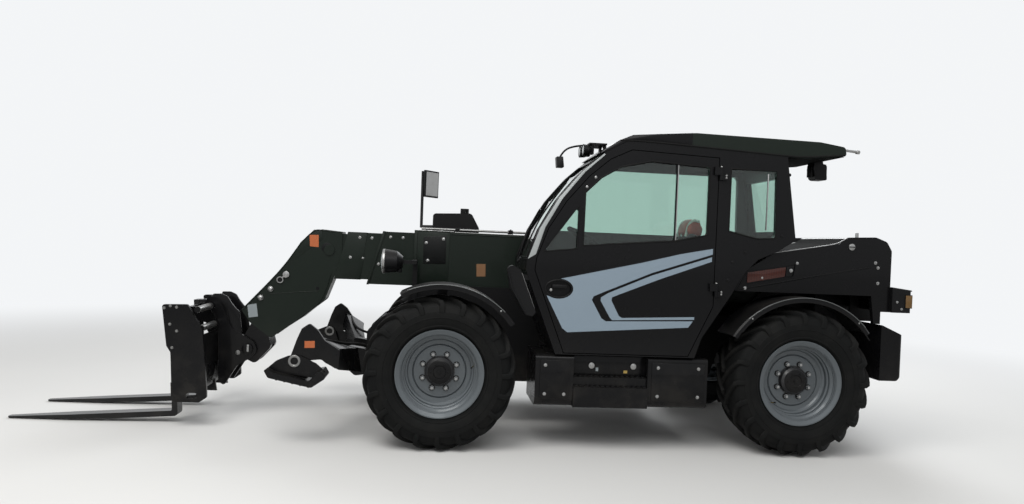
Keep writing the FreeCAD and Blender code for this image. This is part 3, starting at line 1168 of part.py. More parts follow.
def engine_hood():
    """Lid over the engine: top and outer skirt, hinged along its inner edge."""
    outer = -BAY_OUTER - GAP - HOOD_SKIN
    edge = HOOD_HINGE_Y - HOOD_HINGE_RADIUS - GAP
    section = [
        (edge, HOOD_TOP), (-900, HOOD_TOP - 20, 60), (outer, HOOD_TOP - 120, 90), (outer, HOOD_SKIRT),
        (outer + HOOD_SKIN, HOOD_SKIRT), (outer + HOOD_SKIN, BAY_SHOULDER + GAP, 20), (-900, BAY_TOP + GAP),
        (edge, BAY_TOP + GAP),
    ]
    lid = prism_x(section, SIDE_FRONT + 4, SIDE_REAR - 4)
    barrels = [hood_hinge(x, 40.0, edge - 10) for x in HOOD_BARRELS]
    bores = [bar(V(x - 5, HOOD_HINGE_Y, HOOD_HINGE_Z), V(x + 45, HOOD_HINGE_Y, HOOD_HINGE_Z),
                 HOOD_PIN_RADIUS + PIN_FIT) for x in HOOD_BARRELS]
    louvres = [block(x, x + LOUVRE_LENGTH, outer - 5, outer + LOUVRE_DEPTH, z, z + LOUVRE_SLOT)
               for x in LOUVRE_BANKS for z in (LOUVRE_LOW + LOUVRE_PITCH * k for k in range(LOUVRE_COUNT))]
    return cut(fuse(lid, *barrels), *bores, *louvres)


def rear_side_panels():
    """Rear body panels: side skin and top deck, open below over the wheels."""
    outline = [
        (-2600, 1585), (-3000, 1655, 60), (-3130, 1680, 40), (-3205, 1735, 40), (-3440, 1746, 60),
        (-3535, 1712, 40), (PANEL_REAR, 1640, 30), (PANEL_REAR, LAMP_LOW), (-3505, LAMP_LOW), (-3505, 1052),
        (-3450, 1052), (-3420, PANEL_BOTTOM), (-2290, PANEL_BOTTOM), (-2370, 1440),
    ]
    shell = prism_y(outline, FRAME_HALF_WIDTH, PANEL_OUTER)
    hollow = prism_y([
        (-2680, 1550), (-3000, 1610), (-3200, 1650), (-3400, 1672), (-3500, 1660),
        (PANEL_REAR + PANEL_WALL, 1590), (PANEL_REAR + PANEL_WALL, 1000), (-2200, 1000), (-2200, 1300),
    ], FRAME_HALF_WIDTH - 5, PANEL_OUTER - PANEL_WALL)
    marker = prism_y([(-2370, 1325, 12), (-2760, 1400, 12), (-2780, 1505, 12), (-2372, 1435, 12)],
                     PANEL_OUTER - MARKER_DEPTH, PANEL_OUTER + 5)
    slots = [block(PANEL_REAR - 5, PANEL_REAR + GRILLE_DEPTH, GRILLE_INNER, GRILLE_OUTER, low, low + GRILLE_SLOT)
             for low in (GRILLE_LOW + GRILLE_PITCH * k for k in range(GRILLE_COUNT))]
    return both_sides(cut(shell, hollow, marker, *slots))


# Lamps, mirrors, air cleaner

def headlamps():
    """Round headlamps on bent posts beside the boom."""
    lamp = lathe_x([(-75, 0), (-75, 46), (-30, 84), (60, 97), (76, 94), (80, 0)], 400, 600, 1388)
    post = block(215, 255, FRAME_HALF_WIDTH, FRAME_HALF_WIDTH + 30, 900, 1400)
    arm = block(215, 255, FRAME_HALF_WIDTH, 620, 1372, 1402)
    stem = block(215, 340, 585, 615, 1372, 1402)
    return both_sides(fuse(lamp, post, arm, stem))


def rear_lamps():
    """Lamp clusters behind the rear panels."""
    housing = block(PANEL_REAR, LAMP_REAR + 14, 800, 1036, LAMP_LOW, LAMP_HIGH)
    lens = block(LAMP_REAR + 60, LAMP_REAR, 812, 1040, LAMP_LOW + 38, LAMP_HIGH - 30)
    guard = prism_y([(PANEL_REAR, LAMP_HIGH - 2), (PANEL_REAR, LAMP_HIGH + 26), (LAMP_REAR + 4, LAMP_HIGH + 6),
                     (LAMP_REAR + 4, LAMP_HIGH - 2)], 790, 1036)
    return both_sides(fuse(housing, lens, guard))


def roof_lamps():
    """Work lamps at the front and rear of the roof."""
    roof = prism_y(ROOF_SHELL, CAB_INNER, CAB_OUTER)
    rail = fuse(block(-1262, -1120, 520, 790, 2392, 2404), block(-1262, -1240, 560, 590, 2345, 2404),
                block(-1262, -1240, 730, 760, 2345, 2404)).cut(roof)
    lamps = [lathe_x([(-36, 0), (-36, 28), (0, 44), (34, 46), (38, 40), (40, 0)], -1120, y, 2350)
             for y in (585, 735)]
    hangers = [block(-1150, -1110, y - 8, y + 8, 2370, 2398) for y in (585, 735)]
    rear = prism_y([(-3150, 2210, 12), (-3050, 2210, 30), (-3030, 2300), (-3045, 2392), (-3105, 2392),
                    (-3112, 2345), (-3140, 2340)], 600, 720)
    return Part.makeCompound([fuse(rail, *lamps, *hangers), rear.cut(roof)])


def front_wall_x(z):
    """Station of the cab's front face below the windscreen, at a height."""
    (x_low, z_low), (x_high, z_high) = CAB_SIDE[:2]
    return x_low + (x_high - x_low) * (z - z_low) / (z_high - z_low)


def mirrors():
    """Left mirror on an arm at the foot of the windscreen pillar."""
    left = prism_y([(-475, 1395, 30), (-520, 1410, 20), (-575, 1380, 20), (-705, 1060, 20), (-680, 1030, 20),
                    (-630, 1040, 20), (-500, 1240, 60)], 1020, 1100)
    arm = prism_y([(-560, 1300), (front_wall_x(1300), 1300), (front_wall_x(1340), 1340), (-560, 1340)], 1030, 1060)
    return fuse(left, arm)


def air_cleaner():
    """Air cleaner housing with its rain cap, on a bracket beside the boom, with the mirror's pole."""
    house = prism_y([(105, 1620, 30), (105, 1820, 30), (-250, 1835, 40), (-325, 1700, 40), (-325, 1620, 20)],
                    -560, -300)
    cap = bar(V(-190, -430, 1800), V(-190, -430, 1880), 40)
    bracket = block(-230, -20, -FRAME_HALF_WIDTH, -FRAME_HALF_WIDTH - 25, 850, 1640)
    shelf = block(-230, -20, -FRAME_HALF_WIDTH, -500, 1600, 1625)
    foot = bar(V(90, -430, 1700), V(215, -640, 1700), 14)
    pole = bar(V(215, -640, 1690), V(222, -730, 2240), 14)
    head = prism_z([(196, -668, 10), (214, -690, 10), (82, -868, 10), (62, -850, 10)], 1990, 2250)
    return fuse(house, cap, bracket, shelf, foot, pole, head)


# Nodes: name, function that makes it
SINGLE_NODES = (
    ("chassis_frame", chassis_frame),
    ("counterweight", counterweight),
    ("front_axle", axle),
    ("rear_axle", lambda: turned_round(axle())),
    ("steering_rod_front", steering_rod),
    ("steering_rod_rear", lambda: turned_round(steering_rod())),
    ("boom_outer", boom_outer),
    ("boom_second", lambda: section_tube(1)),
    ("boom_third", lambda: section_tube(2)),
    ("boom_head", boom_head),
    ("tilt_bracket", tilt_bracket),
    ("tool_carrier", tool_carrier),
    ("fork_carriage", fork_carriage),
    ("forks", lambda: both_sides(fork())),
    ("lift_cylinder_barrel", lift_cylinder_barrel),
    ("lift_cylinder_rod", lift_cylinder_rod),
    ("cab_floor", cab_floor),
    ("cab_front_frame", cab_front_frame),
    ("cab_rear_frame", cab_rear_frame),
    ("cab_side_frames", cab_side_frames),
    ("cab_roof", cab_roof),
    ("cab_glass", cab_glass),
    ("door_frame", door_frame),
    ("door_glass", door_glass),
    ("seat", seat),
    ("steering_column", steering_column),
    ("dashboard", dashboard),
    ("left_steps", left_steps),
    ("fuel_tank", fuel_tank),
    ("engine_bay", engine_bay),
    ("engine_block", engine_block),
    ("engine_hood", engine_hood),
    ("rear_side_panels", rear_side_panels),
    ("headlamps", headlamps),
    ("rear_lamps", rear_lamps),
    ("roof_lamps", roof_lamps),
    ("mirrors", mirrors),
    ("air_cleaner", air_cleaner),
)


def build_nodes():
    """Every node's shape by name, still at its station."""
    shapes = {name: make() for name, make in SINGLE_NODES}
    for place, put in WHEEL_PLACES:
        angles = FRONT_FENDER_ANGLES if place.startswith("front") else REAR_FENDER_ANGLES
        if place.startswith("rear"):
            angles = (180.0 - angles[1], 180.0 - angles[0])
        shapes["tyre_" + place] = put(tyre(1.0 if place.startswith("front") else -1.0))
        shapes["rim_" + place] = put(rim())
        shapes["knuckle_" + place] = put(knuckle())
        shapes["fender_" + place] = put(fender(*angles))
    for side, put in (("left", lambda shape: shape), ("right", mirrored)):
        shapes["stabilizer_leg_" + side] = put(stabilizer_leg())
        shapes["stabilizer_pad_" + side] = put(stabilizer_pad())
    return shapes


os.makedirs("parts", exist_ok=True)
for node, shape in build_nodes().items():
    shape.translate(ORIGIN_SHIFT)
    shape.exportStep(os.path.join("parts", node + ".step"))
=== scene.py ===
"""Telehandler: finishes, fine pieces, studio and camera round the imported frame."""

from __future__ import annotations

import functools
import logging
import math
from collections.abc import Iterable, Sequence
from dataclasses import dataclass
from enum import Enum
from typing import Any

import bmesh
import bpy
from mathutils import Matrix, Vector

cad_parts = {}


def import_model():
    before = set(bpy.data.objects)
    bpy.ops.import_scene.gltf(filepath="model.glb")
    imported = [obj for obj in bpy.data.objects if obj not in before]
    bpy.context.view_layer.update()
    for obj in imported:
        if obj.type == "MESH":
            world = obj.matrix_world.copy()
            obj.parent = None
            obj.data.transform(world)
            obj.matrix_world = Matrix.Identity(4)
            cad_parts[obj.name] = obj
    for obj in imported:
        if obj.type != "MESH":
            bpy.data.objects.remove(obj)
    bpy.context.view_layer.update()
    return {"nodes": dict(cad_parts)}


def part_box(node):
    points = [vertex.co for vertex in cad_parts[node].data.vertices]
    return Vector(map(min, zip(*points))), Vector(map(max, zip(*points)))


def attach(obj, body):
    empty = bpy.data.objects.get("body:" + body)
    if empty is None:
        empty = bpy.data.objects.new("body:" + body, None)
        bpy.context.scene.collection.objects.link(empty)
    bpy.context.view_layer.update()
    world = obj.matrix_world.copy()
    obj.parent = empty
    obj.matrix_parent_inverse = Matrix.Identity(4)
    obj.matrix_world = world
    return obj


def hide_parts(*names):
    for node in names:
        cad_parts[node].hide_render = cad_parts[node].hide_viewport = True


LOG = logging.getLogger("telehandler")
FULL_TURN = 2.0 * math.pi
Colour = tuple[float, float, float]
Spot = tuple[float, float, float]
Point = tuple[float, float]


class Value:
    """A socket's value in a material, with the sums that shader maths needs."""

    def __init__(self, maker: "Nodes", socket: bpy.types.NodeSocket) -> None:
        """Keeps the tree's maker and the output socket."""
        self.maker = maker
        self.socket = socket

    def _math(self, operation: str, first: Any, second: Any = 0.0) -> "Value":
        """Adds one Math node."""
        return self.maker.node("ShaderNodeMath", {"operation": operation}, {0: first, 1: second})

    def __add__(self, other: Any) -> "Value":
        """Sum."""
        return self._math("ADD", self, other)

    def __radd__(self, other: Any) -> "Value":
        """Sum with a number on the left."""
        return self._math("ADD", other, self)

    def __sub__(self, other: Any) -> "Value":
        """Difference."""
        return self._math("SUBTRACT", self, other)

    def __rsub__(self, other: Any) -> "Value":
        """Difference from a number on the left."""
        return self._math("SUBTRACT", other, self)

    def __mul__(self, other: Any) -> "Value":
        """Product."""
        return self._math("MULTIPLY", self, other)

    def __rmul__(self, other: Any) -> "Value":
        """Product with a number on the left."""
        return self._math("MULTIPLY", other, self)

    def __pow__(self, other: Any) -> "Value":
        """Power."""
        return self._math("POWER", self, other)

    def between(self, low: float, high: float) -> "Value":
        """A smooth step from 0 at one value to 1 at another.

        Args:
            low: where the step starts.
            high: where the step ends; less than low for a falling step.

        Returns:
            The step's value, held within 0 and 1.
        """
        settings = {"interpolation_type": "SMOOTHSTEP", "clamp": True}
        if low <= high:
            return self.maker.node("ShaderNodeMapRange", settings, {"Value": self, "From Min": low, "From Max": high})
        return 1.0 - self.between(high, low)


class Nodes:
    """Makes the nodes of one material."""

    def __init__(self, name: str) -> None:
        """Starts an empty node material of a name."""
        self.material = bpy.data.materials.new(name)
        self.material.use_nodes = True
        self.tree = self.material.node_tree
        self.tree.nodes.clear()

    def node(self, kind: str, settings: dict[str, Any] | None = None, inputs: dict[Any, Any] | None = None,
             output: int | str = 0) -> Value:
        """Adds one node.

        Args:
            kind: the node's type.
            settings: its properties, set first.
            inputs: a number, colour or Value for each input, by index or name.
            output: the output that the returned value stands for.

        Returns:
            The value of that output.
        """
        made = self.tree.nodes.new(kind)
        for key, setting in (settings or {}).items():
            setattr(made, key, setting)
        for key, given in (inputs or {}).items():
            socket = made.inputs[key]
            if isinstance(given, Value):
                self.tree.links.new(given.socket, socket)
            elif isinstance(given, tuple) and len(given) == 3 and socket.type == "RGBA":
                socket.default_value = (*given, 1.0)
            else:
                socket.default_value = given
        return Value(self, made.outputs[output])

    def place(self, centre: Spot = (0.0, 0.0, 0.0), scale: Spot = (1.0, 1.0, 1.0)) -> Value:
        """Object coordinates, measured from a centre and stretched by a scale."""
        coordinates = self.node("ShaderNodeTexCoord", output="Object")
        moved = self.node("ShaderNodeVectorMath", {"operation": "SUBTRACT"}, {0: coordinates, 1: centre})
        return self.node("ShaderNodeVectorMath", {"operation": "MULTIPLY"}, {0: moved, 1: scale})

    def axes(self, vector: Value) -> tuple[Value, Value, Value]:
        """The three numbers of a vector."""
        split = self.node("ShaderNodeSeparateXYZ", inputs={0: vector})
        outputs = split.socket.node.outputs
        return Value(self, outputs[0]), Value(self, outputs[1]), Value(self, outputs[2])

    def noise(self, scale: float, detail: float = 4.0, vector: Value | None = None, rough: float = 0.55) -> Value:
        """A cloud of values about one half, at a number of lumps a metre."""
        return self.node("ShaderNodeTexNoise", {"noise_dimensions": "3D"},
                         {"Vector": vector or self.place(), "Scale": scale, "Detail": detail, "Roughness": rough})

    def mix(self, share: Value | float, first: Any, second: Any) -> Value:
        """A colour between two, by a share."""
        return self.node("ShaderNodeMix", {"data_type": "RGBA"}, {"Factor": share, 6: first, 7: second}, 2)

    def bump(self, height: Value, strength: float, distance: float, under: Value | None = None) -> Value:
        """A normal that follows a height."""
        inputs = {"Height": height, "Strength": strength, "Distance": distance}
        if under is not None:
            inputs["Normal"] = under
        return self.node("ShaderNodeBump", inputs=inputs)

    def upward(self) -> Value:
        """How far a surface faces up, from -1 to 1."""
        return self.axes(self.node("ShaderNodeNewGeometry", output="Normal"))[2]

    def close(self, inputs: dict[str, Any]) -> bpy.types.Material:
        """Ends the material with a Principled shader.

        Args:
            inputs: the shader's inputs by name.

        Returns:
            The finished material.
        """
        shader = self.node("ShaderNodeBsdfPrincipled", inputs=inputs)
        surface = self.tree.nodes.new("ShaderNodeOutputMaterial").inputs["Surface"]
        self.tree.links.new(shader.socket, surface)
        return self.material


@dataclass(frozen=True)
class Finish:
    """What every finish has: a name and a colour in linear light."""

    name: str
    colour: Colour

    def build(self) -> bpy.types.Material:
        """Makes the finish's material."""
        raise NotImplementedError


DUST: Colour = (0.16, 0.145, 0.12)
RIM_SILVER: Colour = (0.082, 0.095, 0.104)
TYRE_BLACK: Colour = (0.0036, 0.0039, 0.0039)
PALE_SKY: Colour = (0.90, 0.915, 0.93)


@dataclass(frozen=True)
class Paint(Finish):
    """Sprayed paint with orange peel, a film of dust on what faces up, and road dirt low down."""

    roughness: float = 0.32
    coat: float = 0.2
    dust: float = 0.10
    dirt: float = 0.20
    gloss: float = 0.26

    def build(self) -> bpy.types.Material:
        """Makes the paint."""
        made = Nodes(self.name)
        height = made.axes(made.place())[2]
        cloud = made.noise(2.3, 6.0)
        grain = made.noise(190.0, 3.0)
        settled = made.upward().between(0.25, 0.95) * cloud.between(0.30, 0.75) * self.dust
        splashed = height.between(0.95, 0.15) * made.noise(6.0, 8.0).between(0.40, 0.72) * self.dirt
        film = (settled + splashed) * (0.55 + 0.9 * grain)
        shade = made.mix(cloud.between(0.25, 0.8), self.colour, tuple(0.82 * part for part in self.colour))
        peel = made.bump(made.noise(260.0, 1.0), 0.05, 0.002)
        dents = made.bump(made.noise(1.6, 2.0), 0.06, 0.02, peel)
        return made.close({
            "Base Color": made.mix(film, shade, DUST),
            "Roughness": self.roughness + 0.12 * (cloud - 0.5) + 0.5 * film, "Specular IOR Level": self.gloss,
            "Coat Weight": self.coat, "Coat Roughness": 0.06, "Normal": dents,
        })


@dataclass(frozen=True)
class WheelPaint(Finish):
    """Silver wheel paint with a black hub, about one wheel's centre."""

    centre: Spot = (0.0, 0.0, 0.0)
    hub_colour: Colour = (0.011, 0.011, 0.012)
    hub_radius: float = 0.116

    def build(self) -> bpy.types.Material:
        """Makes the wheel's paint."""
        made = Nodes(self.name)
        x, _, z = made.axes(made.place(self.centre))
        radius = (x * x + z * z) ** 0.5
        hub = radius.between(self.hub_radius + 0.003, self.hub_radius)
        cloud = made.noise(9.0, 6.0)
        speck = made.noise(120.0, 3.0).between(0.52, 0.72)
        brake_dust = (0.18 + 0.5 * radius.between(0.33, 0.20)) * cloud.between(0.35, 0.75) * (0.4 + 0.6 * speck)
        silver = made.mix(cloud, tuple(0.88 * part for part in self.colour), self.colour)
        dirty = made.mix(brake_dust * 0.45, silver, (0.050, 0.047, 0.043))
        return made.close({
            "Base Color": made.mix(hub, dirty, self.hub_colour),
            "Roughness": 0.42 + 0.14 * cloud, "Metallic": 0.35 * (1.0 - hub),
            "Coat Weight": 0.25, "Coat Roughness": 0.12,
            "Normal": made.bump(made.noise(210.0, 2.0), 0.06, 0.002),
        })


@dataclass(frozen=True)
class Tyre(Finish):
    """Black tyre rubber, scuffed and dusty on its lugs, about one wheel's centre."""

    centre: Spot = (0.0, 0.0, 0.0)
    tread_radius: float = 0.545

    def build(self) -> bpy.types.Material:
        """Makes the rubber."""
        made = Nodes(self.name)
        x, _, z = made.axes(made.place(self.centre))
        radius = (x * x + z * z) ** 0.5
        cloud = made.noise(7.0, 8.0)
        fine = made.noise(95.0, 4.0)
        worn = radius.between(self.tread_radius, self.tread_radius + 0.03) * (0.35 + 0.5 * fine)
        film = cloud.between(0.38, 0.78) * 0.08 + worn * 0.14
        base = made.mix(fine.between(0.3, 0.7), tuple(0.75 * part for part in self.colour), self.colour)
        rings = made.bump(made.noise(420.0, 2.0), 0.12, 0.002)
        return made.close({
            "Base Color": made.mix(film, base, (0.045, 0.042, 0.037)),
            "Roughness": 0.58 + 0.2 * fine, "Specular IOR Level": 0.12,
            "Normal": made.bump(fine, 0.18, 0.004, rings),
        })


@dataclass(frozen=True)
class Moulded(Finish):
    """Moulded plastic or rubber with a fine grain."""

    roughness: float = 0.5
    grain: float = 0.12
    dust: float = 0.14
    gloss: float = 0.14

    def build(self) -> bpy.types.Material:
        """Makes the plastic."""
        made = Nodes(self.name)
        cloud = made.noise(4.0, 6.0)
        pebbles = made.node("ShaderNodeTexVoronoi", {"feature": "F1"}, {"Vector": made.place(), "Scale": 520.0})
        settled = made.upward().between(0.2, 0.9) * cloud.between(0.35, 0.75) * self.dust
        shade = made.mix(cloud, tuple(0.8 * part for part in self.colour), self.colour)
        return made.close({
            "Base Color": made.mix(settled, shade, DUST), "Specular IOR Level": self.gloss,
            "Roughness": self.roughness + 0.12 * (cloud - 0.5) + 0.3 * settled,
            "Normal": made.bump(pebbles, self.grain, 0.001),
        })


@dataclass(frozen=True)
class Metal(Finish):
    """Bare or plated metal, with fine lines along one axis and stains where it is worn."""

    roughness: float = 0.3
    lines: Spot = (1.0, 1.0, 1.0)
    stain: float = 0.2
    stain_colour: Colour = (0.10, 0.075, 0.05)

    def build(self) -> bpy.types.Material:
        """Makes the metal."""
        made = Nodes(self.name)
        cloud = made.noise(8.0, 8.0)
        streaks = made.noise(70.0, 5.0, made.place(scale=self.lines))
        marks = cloud.between(0.45, 0.75) * self.stain
        base = made.mix(streaks, tuple(0.78 * part for part in self.colour), self.colour)
        return made.close({
            "Base Color": made.mix(marks, base, self.stain_colour), "Metallic": 1.0 - 0.6 * marks,
            "Roughness": self.roughness + 0.14 * (streaks - 0.5) + 0.4 * marks,
            "Normal": made.bump(streaks, 0.05, 0.001),
        })


@dataclass(frozen=True)
class Glazing(Finish):
    """Tinted window glass with a faint film."""

    def build(self) -> bpy.types.Material:
        """Makes the glass."""
        made = Nodes(self.name)
        film = made.noise(3.5, 5.0)
        return made.close({
            "Base Color": self.colour, "Transmission Weight": 1.0, "IOR": 1.45,
            "Roughness": 0.008 + 0.02 * film.between(0.5, 0.8),
        })


@dataclass(frozen=True)
class Lens(Finish):
    """A ribbed lamp lens, with its ribs along the machine's height or width."""

    rib: float = 0.010
    across: Spot = (0.0, 1.0, 0.0)

    def build(self) -> bpy.types.Material:
        """Makes the lens."""
        made = Nodes(self.name)
        along = made.node("ShaderNodeVectorMath", {"operation": "DOT_PRODUCT"}, {0: made.place(), 1: self.across},
                          "Value")
        ribs = made.node("ShaderNodeMath", {"operation": "PINGPONG"}, {0: along, 1: self.rib / 2.0})
        shade = made.mix((ribs * (2.0 / self.rib)).between(0.1, 0.9), tuple(0.72 * part for part in self.colour),
                         self.colour)
        return made.close({
            "Base Color": shade, "Roughness": 0.16 + 0.1 * made.noise(40.0), "Coat Weight": 0.25,
            "Specular IOR Level": 0.20,
            "Coat Roughness": 0.03, "Normal": made.bump(ribs * 100.0, 0.3, 0.001),
        })


@dataclass(frozen=True)
class Film(Finish):
    """Printed vinyl film with a slight sheen and a few scuffs."""

    roughness: float = 0.34

    def build(self) -> bpy.types.Material:
        """Makes the film."""
        made = Nodes(self.name)
        cloud = made.noise(5.0, 7.0)
        scuffs = made.noise(60.0, 6.0, made.place(scale=(1.0, 1.0, 5.0))).between(0.62, 0.78)
        worn = made.mix(scuffs * 0.20, self.colour, tuple(0.55 * part for part in self.colour))
        return made.close({
            "Base Color": made.mix(cloud.between(0.3, 0.8) * 0.12, worn, tuple(0.8 * part for part in self.colour)),
            "Roughness": self.roughness + 0.15 * cloud, "Coat Weight": 0.3, "Coat Roughness": 0.15,
        })


@dataclass(frozen=True)
class Cloth(Finish):
    """Woven seat cloth with crossing threads."""

    thread: float = 0.0022

    def build(self) -> bpy.types.Material:
        """Makes the cloth."""
        made = Nodes(self.name)
        x, y, z = made.axes(made.place())
        warp = made.node("ShaderNodeMath", {"operation": "PINGPONG"}, {0: x + z, 1: self.thread})
        weft = made.node("ShaderNodeMath", {"operation": "PINGPONG"}, {0: y, 1: self.thread})
        weave = (warp + weft) * (0.5 / self.thread)
        shade = made.mix(weave.between(0.2, 0.9), tuple(0.5 * part for part in self.colour), self.colour)
        return made.close({
            "Base Color": made.mix(made.noise(12.0) * 0.2, shade, tuple(1.5 * part for part in self.colour)),
            "Roughness": 0.86 + 0.1 * weave, "Sheen Weight": 0.25, "Normal": made.bump(weave, 0.3, 0.001),
        })


BLACK_PAINT = Paint("black_paint", (0.0045, 0.0045, 0.0050), 0.27, 0.10, 0.04, 0.08, 0.10)
FORK_PAINT = Paint("fork_paint", (0.0050, 0.0050, 0.0055), 0.30, 0.20, 0.02, 0.04, 0.20)
FRAME_PAINT = Paint("frame_paint", (0.0060, 0.0060, 0.0064), 0.50, 0.0, 0.08, 0.12, 0.10)
OLIVE_PAINT = Paint("olive_paint", (0.0065, 0.0105, 0.0075), 0.38, 0.05, 0.06, 0.08, 0.15)
COLLAR_PAINT = Paint("collar_paint", (0.0035, 0.0040, 0.0040), 0.42, 0.04, 0.05, 0.06, 0.14)
IRON_PAINT = Paint("iron_paint", (0.055, 0.057, 0.06), 0.6, 0.0, 0.30, 0.2)
BARE_STEEL = Metal("bare_steel", (0.24, 0.24, 0.235), 0.38, (0.15, 1.0, 1.0), 0.35)
BRIGHT_STEEL = Metal("bright_steel", (0.36, 0.36, 0.355), 0.30, (1.0, 1.0, 1.0), 0.15)
CHROMED = Metal("chromed_rod", (0.62, 0.62, 0.63), 0.10, (1.0, 0.1, 0.1), 0.06)
BRASS = Metal("yellow_brass", (0.42, 0.30, 0.10), 0.35, (1.0, 1.0, 1.0), 0.2)
GLASS = Glazing("tinted_glass", (0.57, 0.72, 0.66))
TRIM = Moulded("cab_trim", (0.010, 0.011, 0.012), 0.62, 0.2, 0.05)
FENDER_PLASTIC = Moulded("fender_plastic", (0.0050, 0.0050, 0.0055), 0.34, 0.08, 0.06)
BLACK_PLASTIC = Moulded("black_plastic", (0.0055, 0.0055, 0.0060), 0.42, 0.12, 0.06)
RUBBER = Moulded("black_rubber", (0.0060, 0.0060, 0.0060), 0.75, 0.2, 0.05, 0.14)
DECK_COVER = Moulded("deck_cover", (0.0060, 0.0065, 0.0065), 0.85, 0.3, 0.02, 0.02)
SEAT_CLOTH = Cloth("seat_cloth", (0.022, 0.022, 0.025))
RED_VINYL = Film("red_vinyl", (0.60, 0.085, 0.055), 0.45)
WHITE_VINYL = Film("white_vinyl", (0.88, 0.88, 0.86), 0.45)
STRIPE = Film("stripe_film", (0.172, 0.224, 0.272), 0.34)
LABEL_ORANGE = Film("label_orange", (0.36, 0.080, 0.012), 0.4)
LABEL_AMBER = Film("label_amber", (0.155, 0.068, 0.020), 0.4)
LABEL_GREY = Film("label_grey", (0.20, 0.23, 0.24), 0.4)
CLEAR_LENS = Lens("clear_lens", (0.42, 0.45, 0.46), 0.012)
ORANGE_LENS = Lens("orange_lens", (0.145, 0.080, 0.026), 0.008, (0.0, 0.0, 1.0))
RED_LENS = Lens("red_lens", (0.12, 0.014, 0.010), 0.008, (0.0, 0.0, 1.0))
# The pillar and fender films are pale lines of painted highlight, where those edges catch the light.
PILLAR_HIGHLIGHT = Film("pillar_painted_highlight", (0.30, 0.32, 0.32), 0.20)
FENDER_HIGHLIGHT = Film("fender_painted_highlight", (0.075, 0.080, 0.080), 0.30)
MARKER_LENS = Lens("marker_lens", (0.050, 0.011, 0.007), 0.02, (1.0, 0.0, 0.0))

SLOT_FINISHES: dict[str, Finish] = {
    "black_paint": BLACK_PAINT, "olive_paint": OLIVE_PAINT, "dark_frame": FRAME_PAINT, "steel": BARE_STEEL,
    "chromed_rod": CHROMED, "glass_tint": GLASS, "cab_trim": TRIM, "seat_cloth": SEAT_CLOTH,
    "fender_plastic": FENDER_PLASTIC, "black_plastic": BLACK_PLASTIC, "engine_iron": IRON_PAINT,
}


@functools.cache
def material_of(finish: Finish) -> bpy.types.Material:
    """The material of a finish, made once."""
    return finish.build()


class Plane(Enum):
    """The axis along which a flat outline is drawn out."""

    ACROSS_X = "x"
    ACROSS_Y = "y"
    ACROSS_Z = "z"

    def lift(self, u: float, v: float, w: float) -> Vector:
        """A point from its two coordinates in the outline and its place along the axis."""
        if self is Plane.ACROSS_X:
            return Vector((w, u, v))
        if self is Plane.ACROSS_Y:
            return Vector((u, w, v))
        return Vector((u, v, w))

    @property
    def axis(self) -> Vector:
        """The axis itself."""
        return self.lift(0.0, 0.0, 1.0)


def shade_by_angle(shape: bmesh.types.BMesh, degrees: float = 32.0) -> None:
    """Shades faces smooth, and keeps the edges that turn by more than an angle sharp."""
    limit = math.radians(degrees)
    for face in shape.faces:
        face.smooth = True
    for edge in shape.edges:
        edge.smooth = len(edge.link_faces) == 2 and edge.calc_face_angle(FULL_TURN) < limit


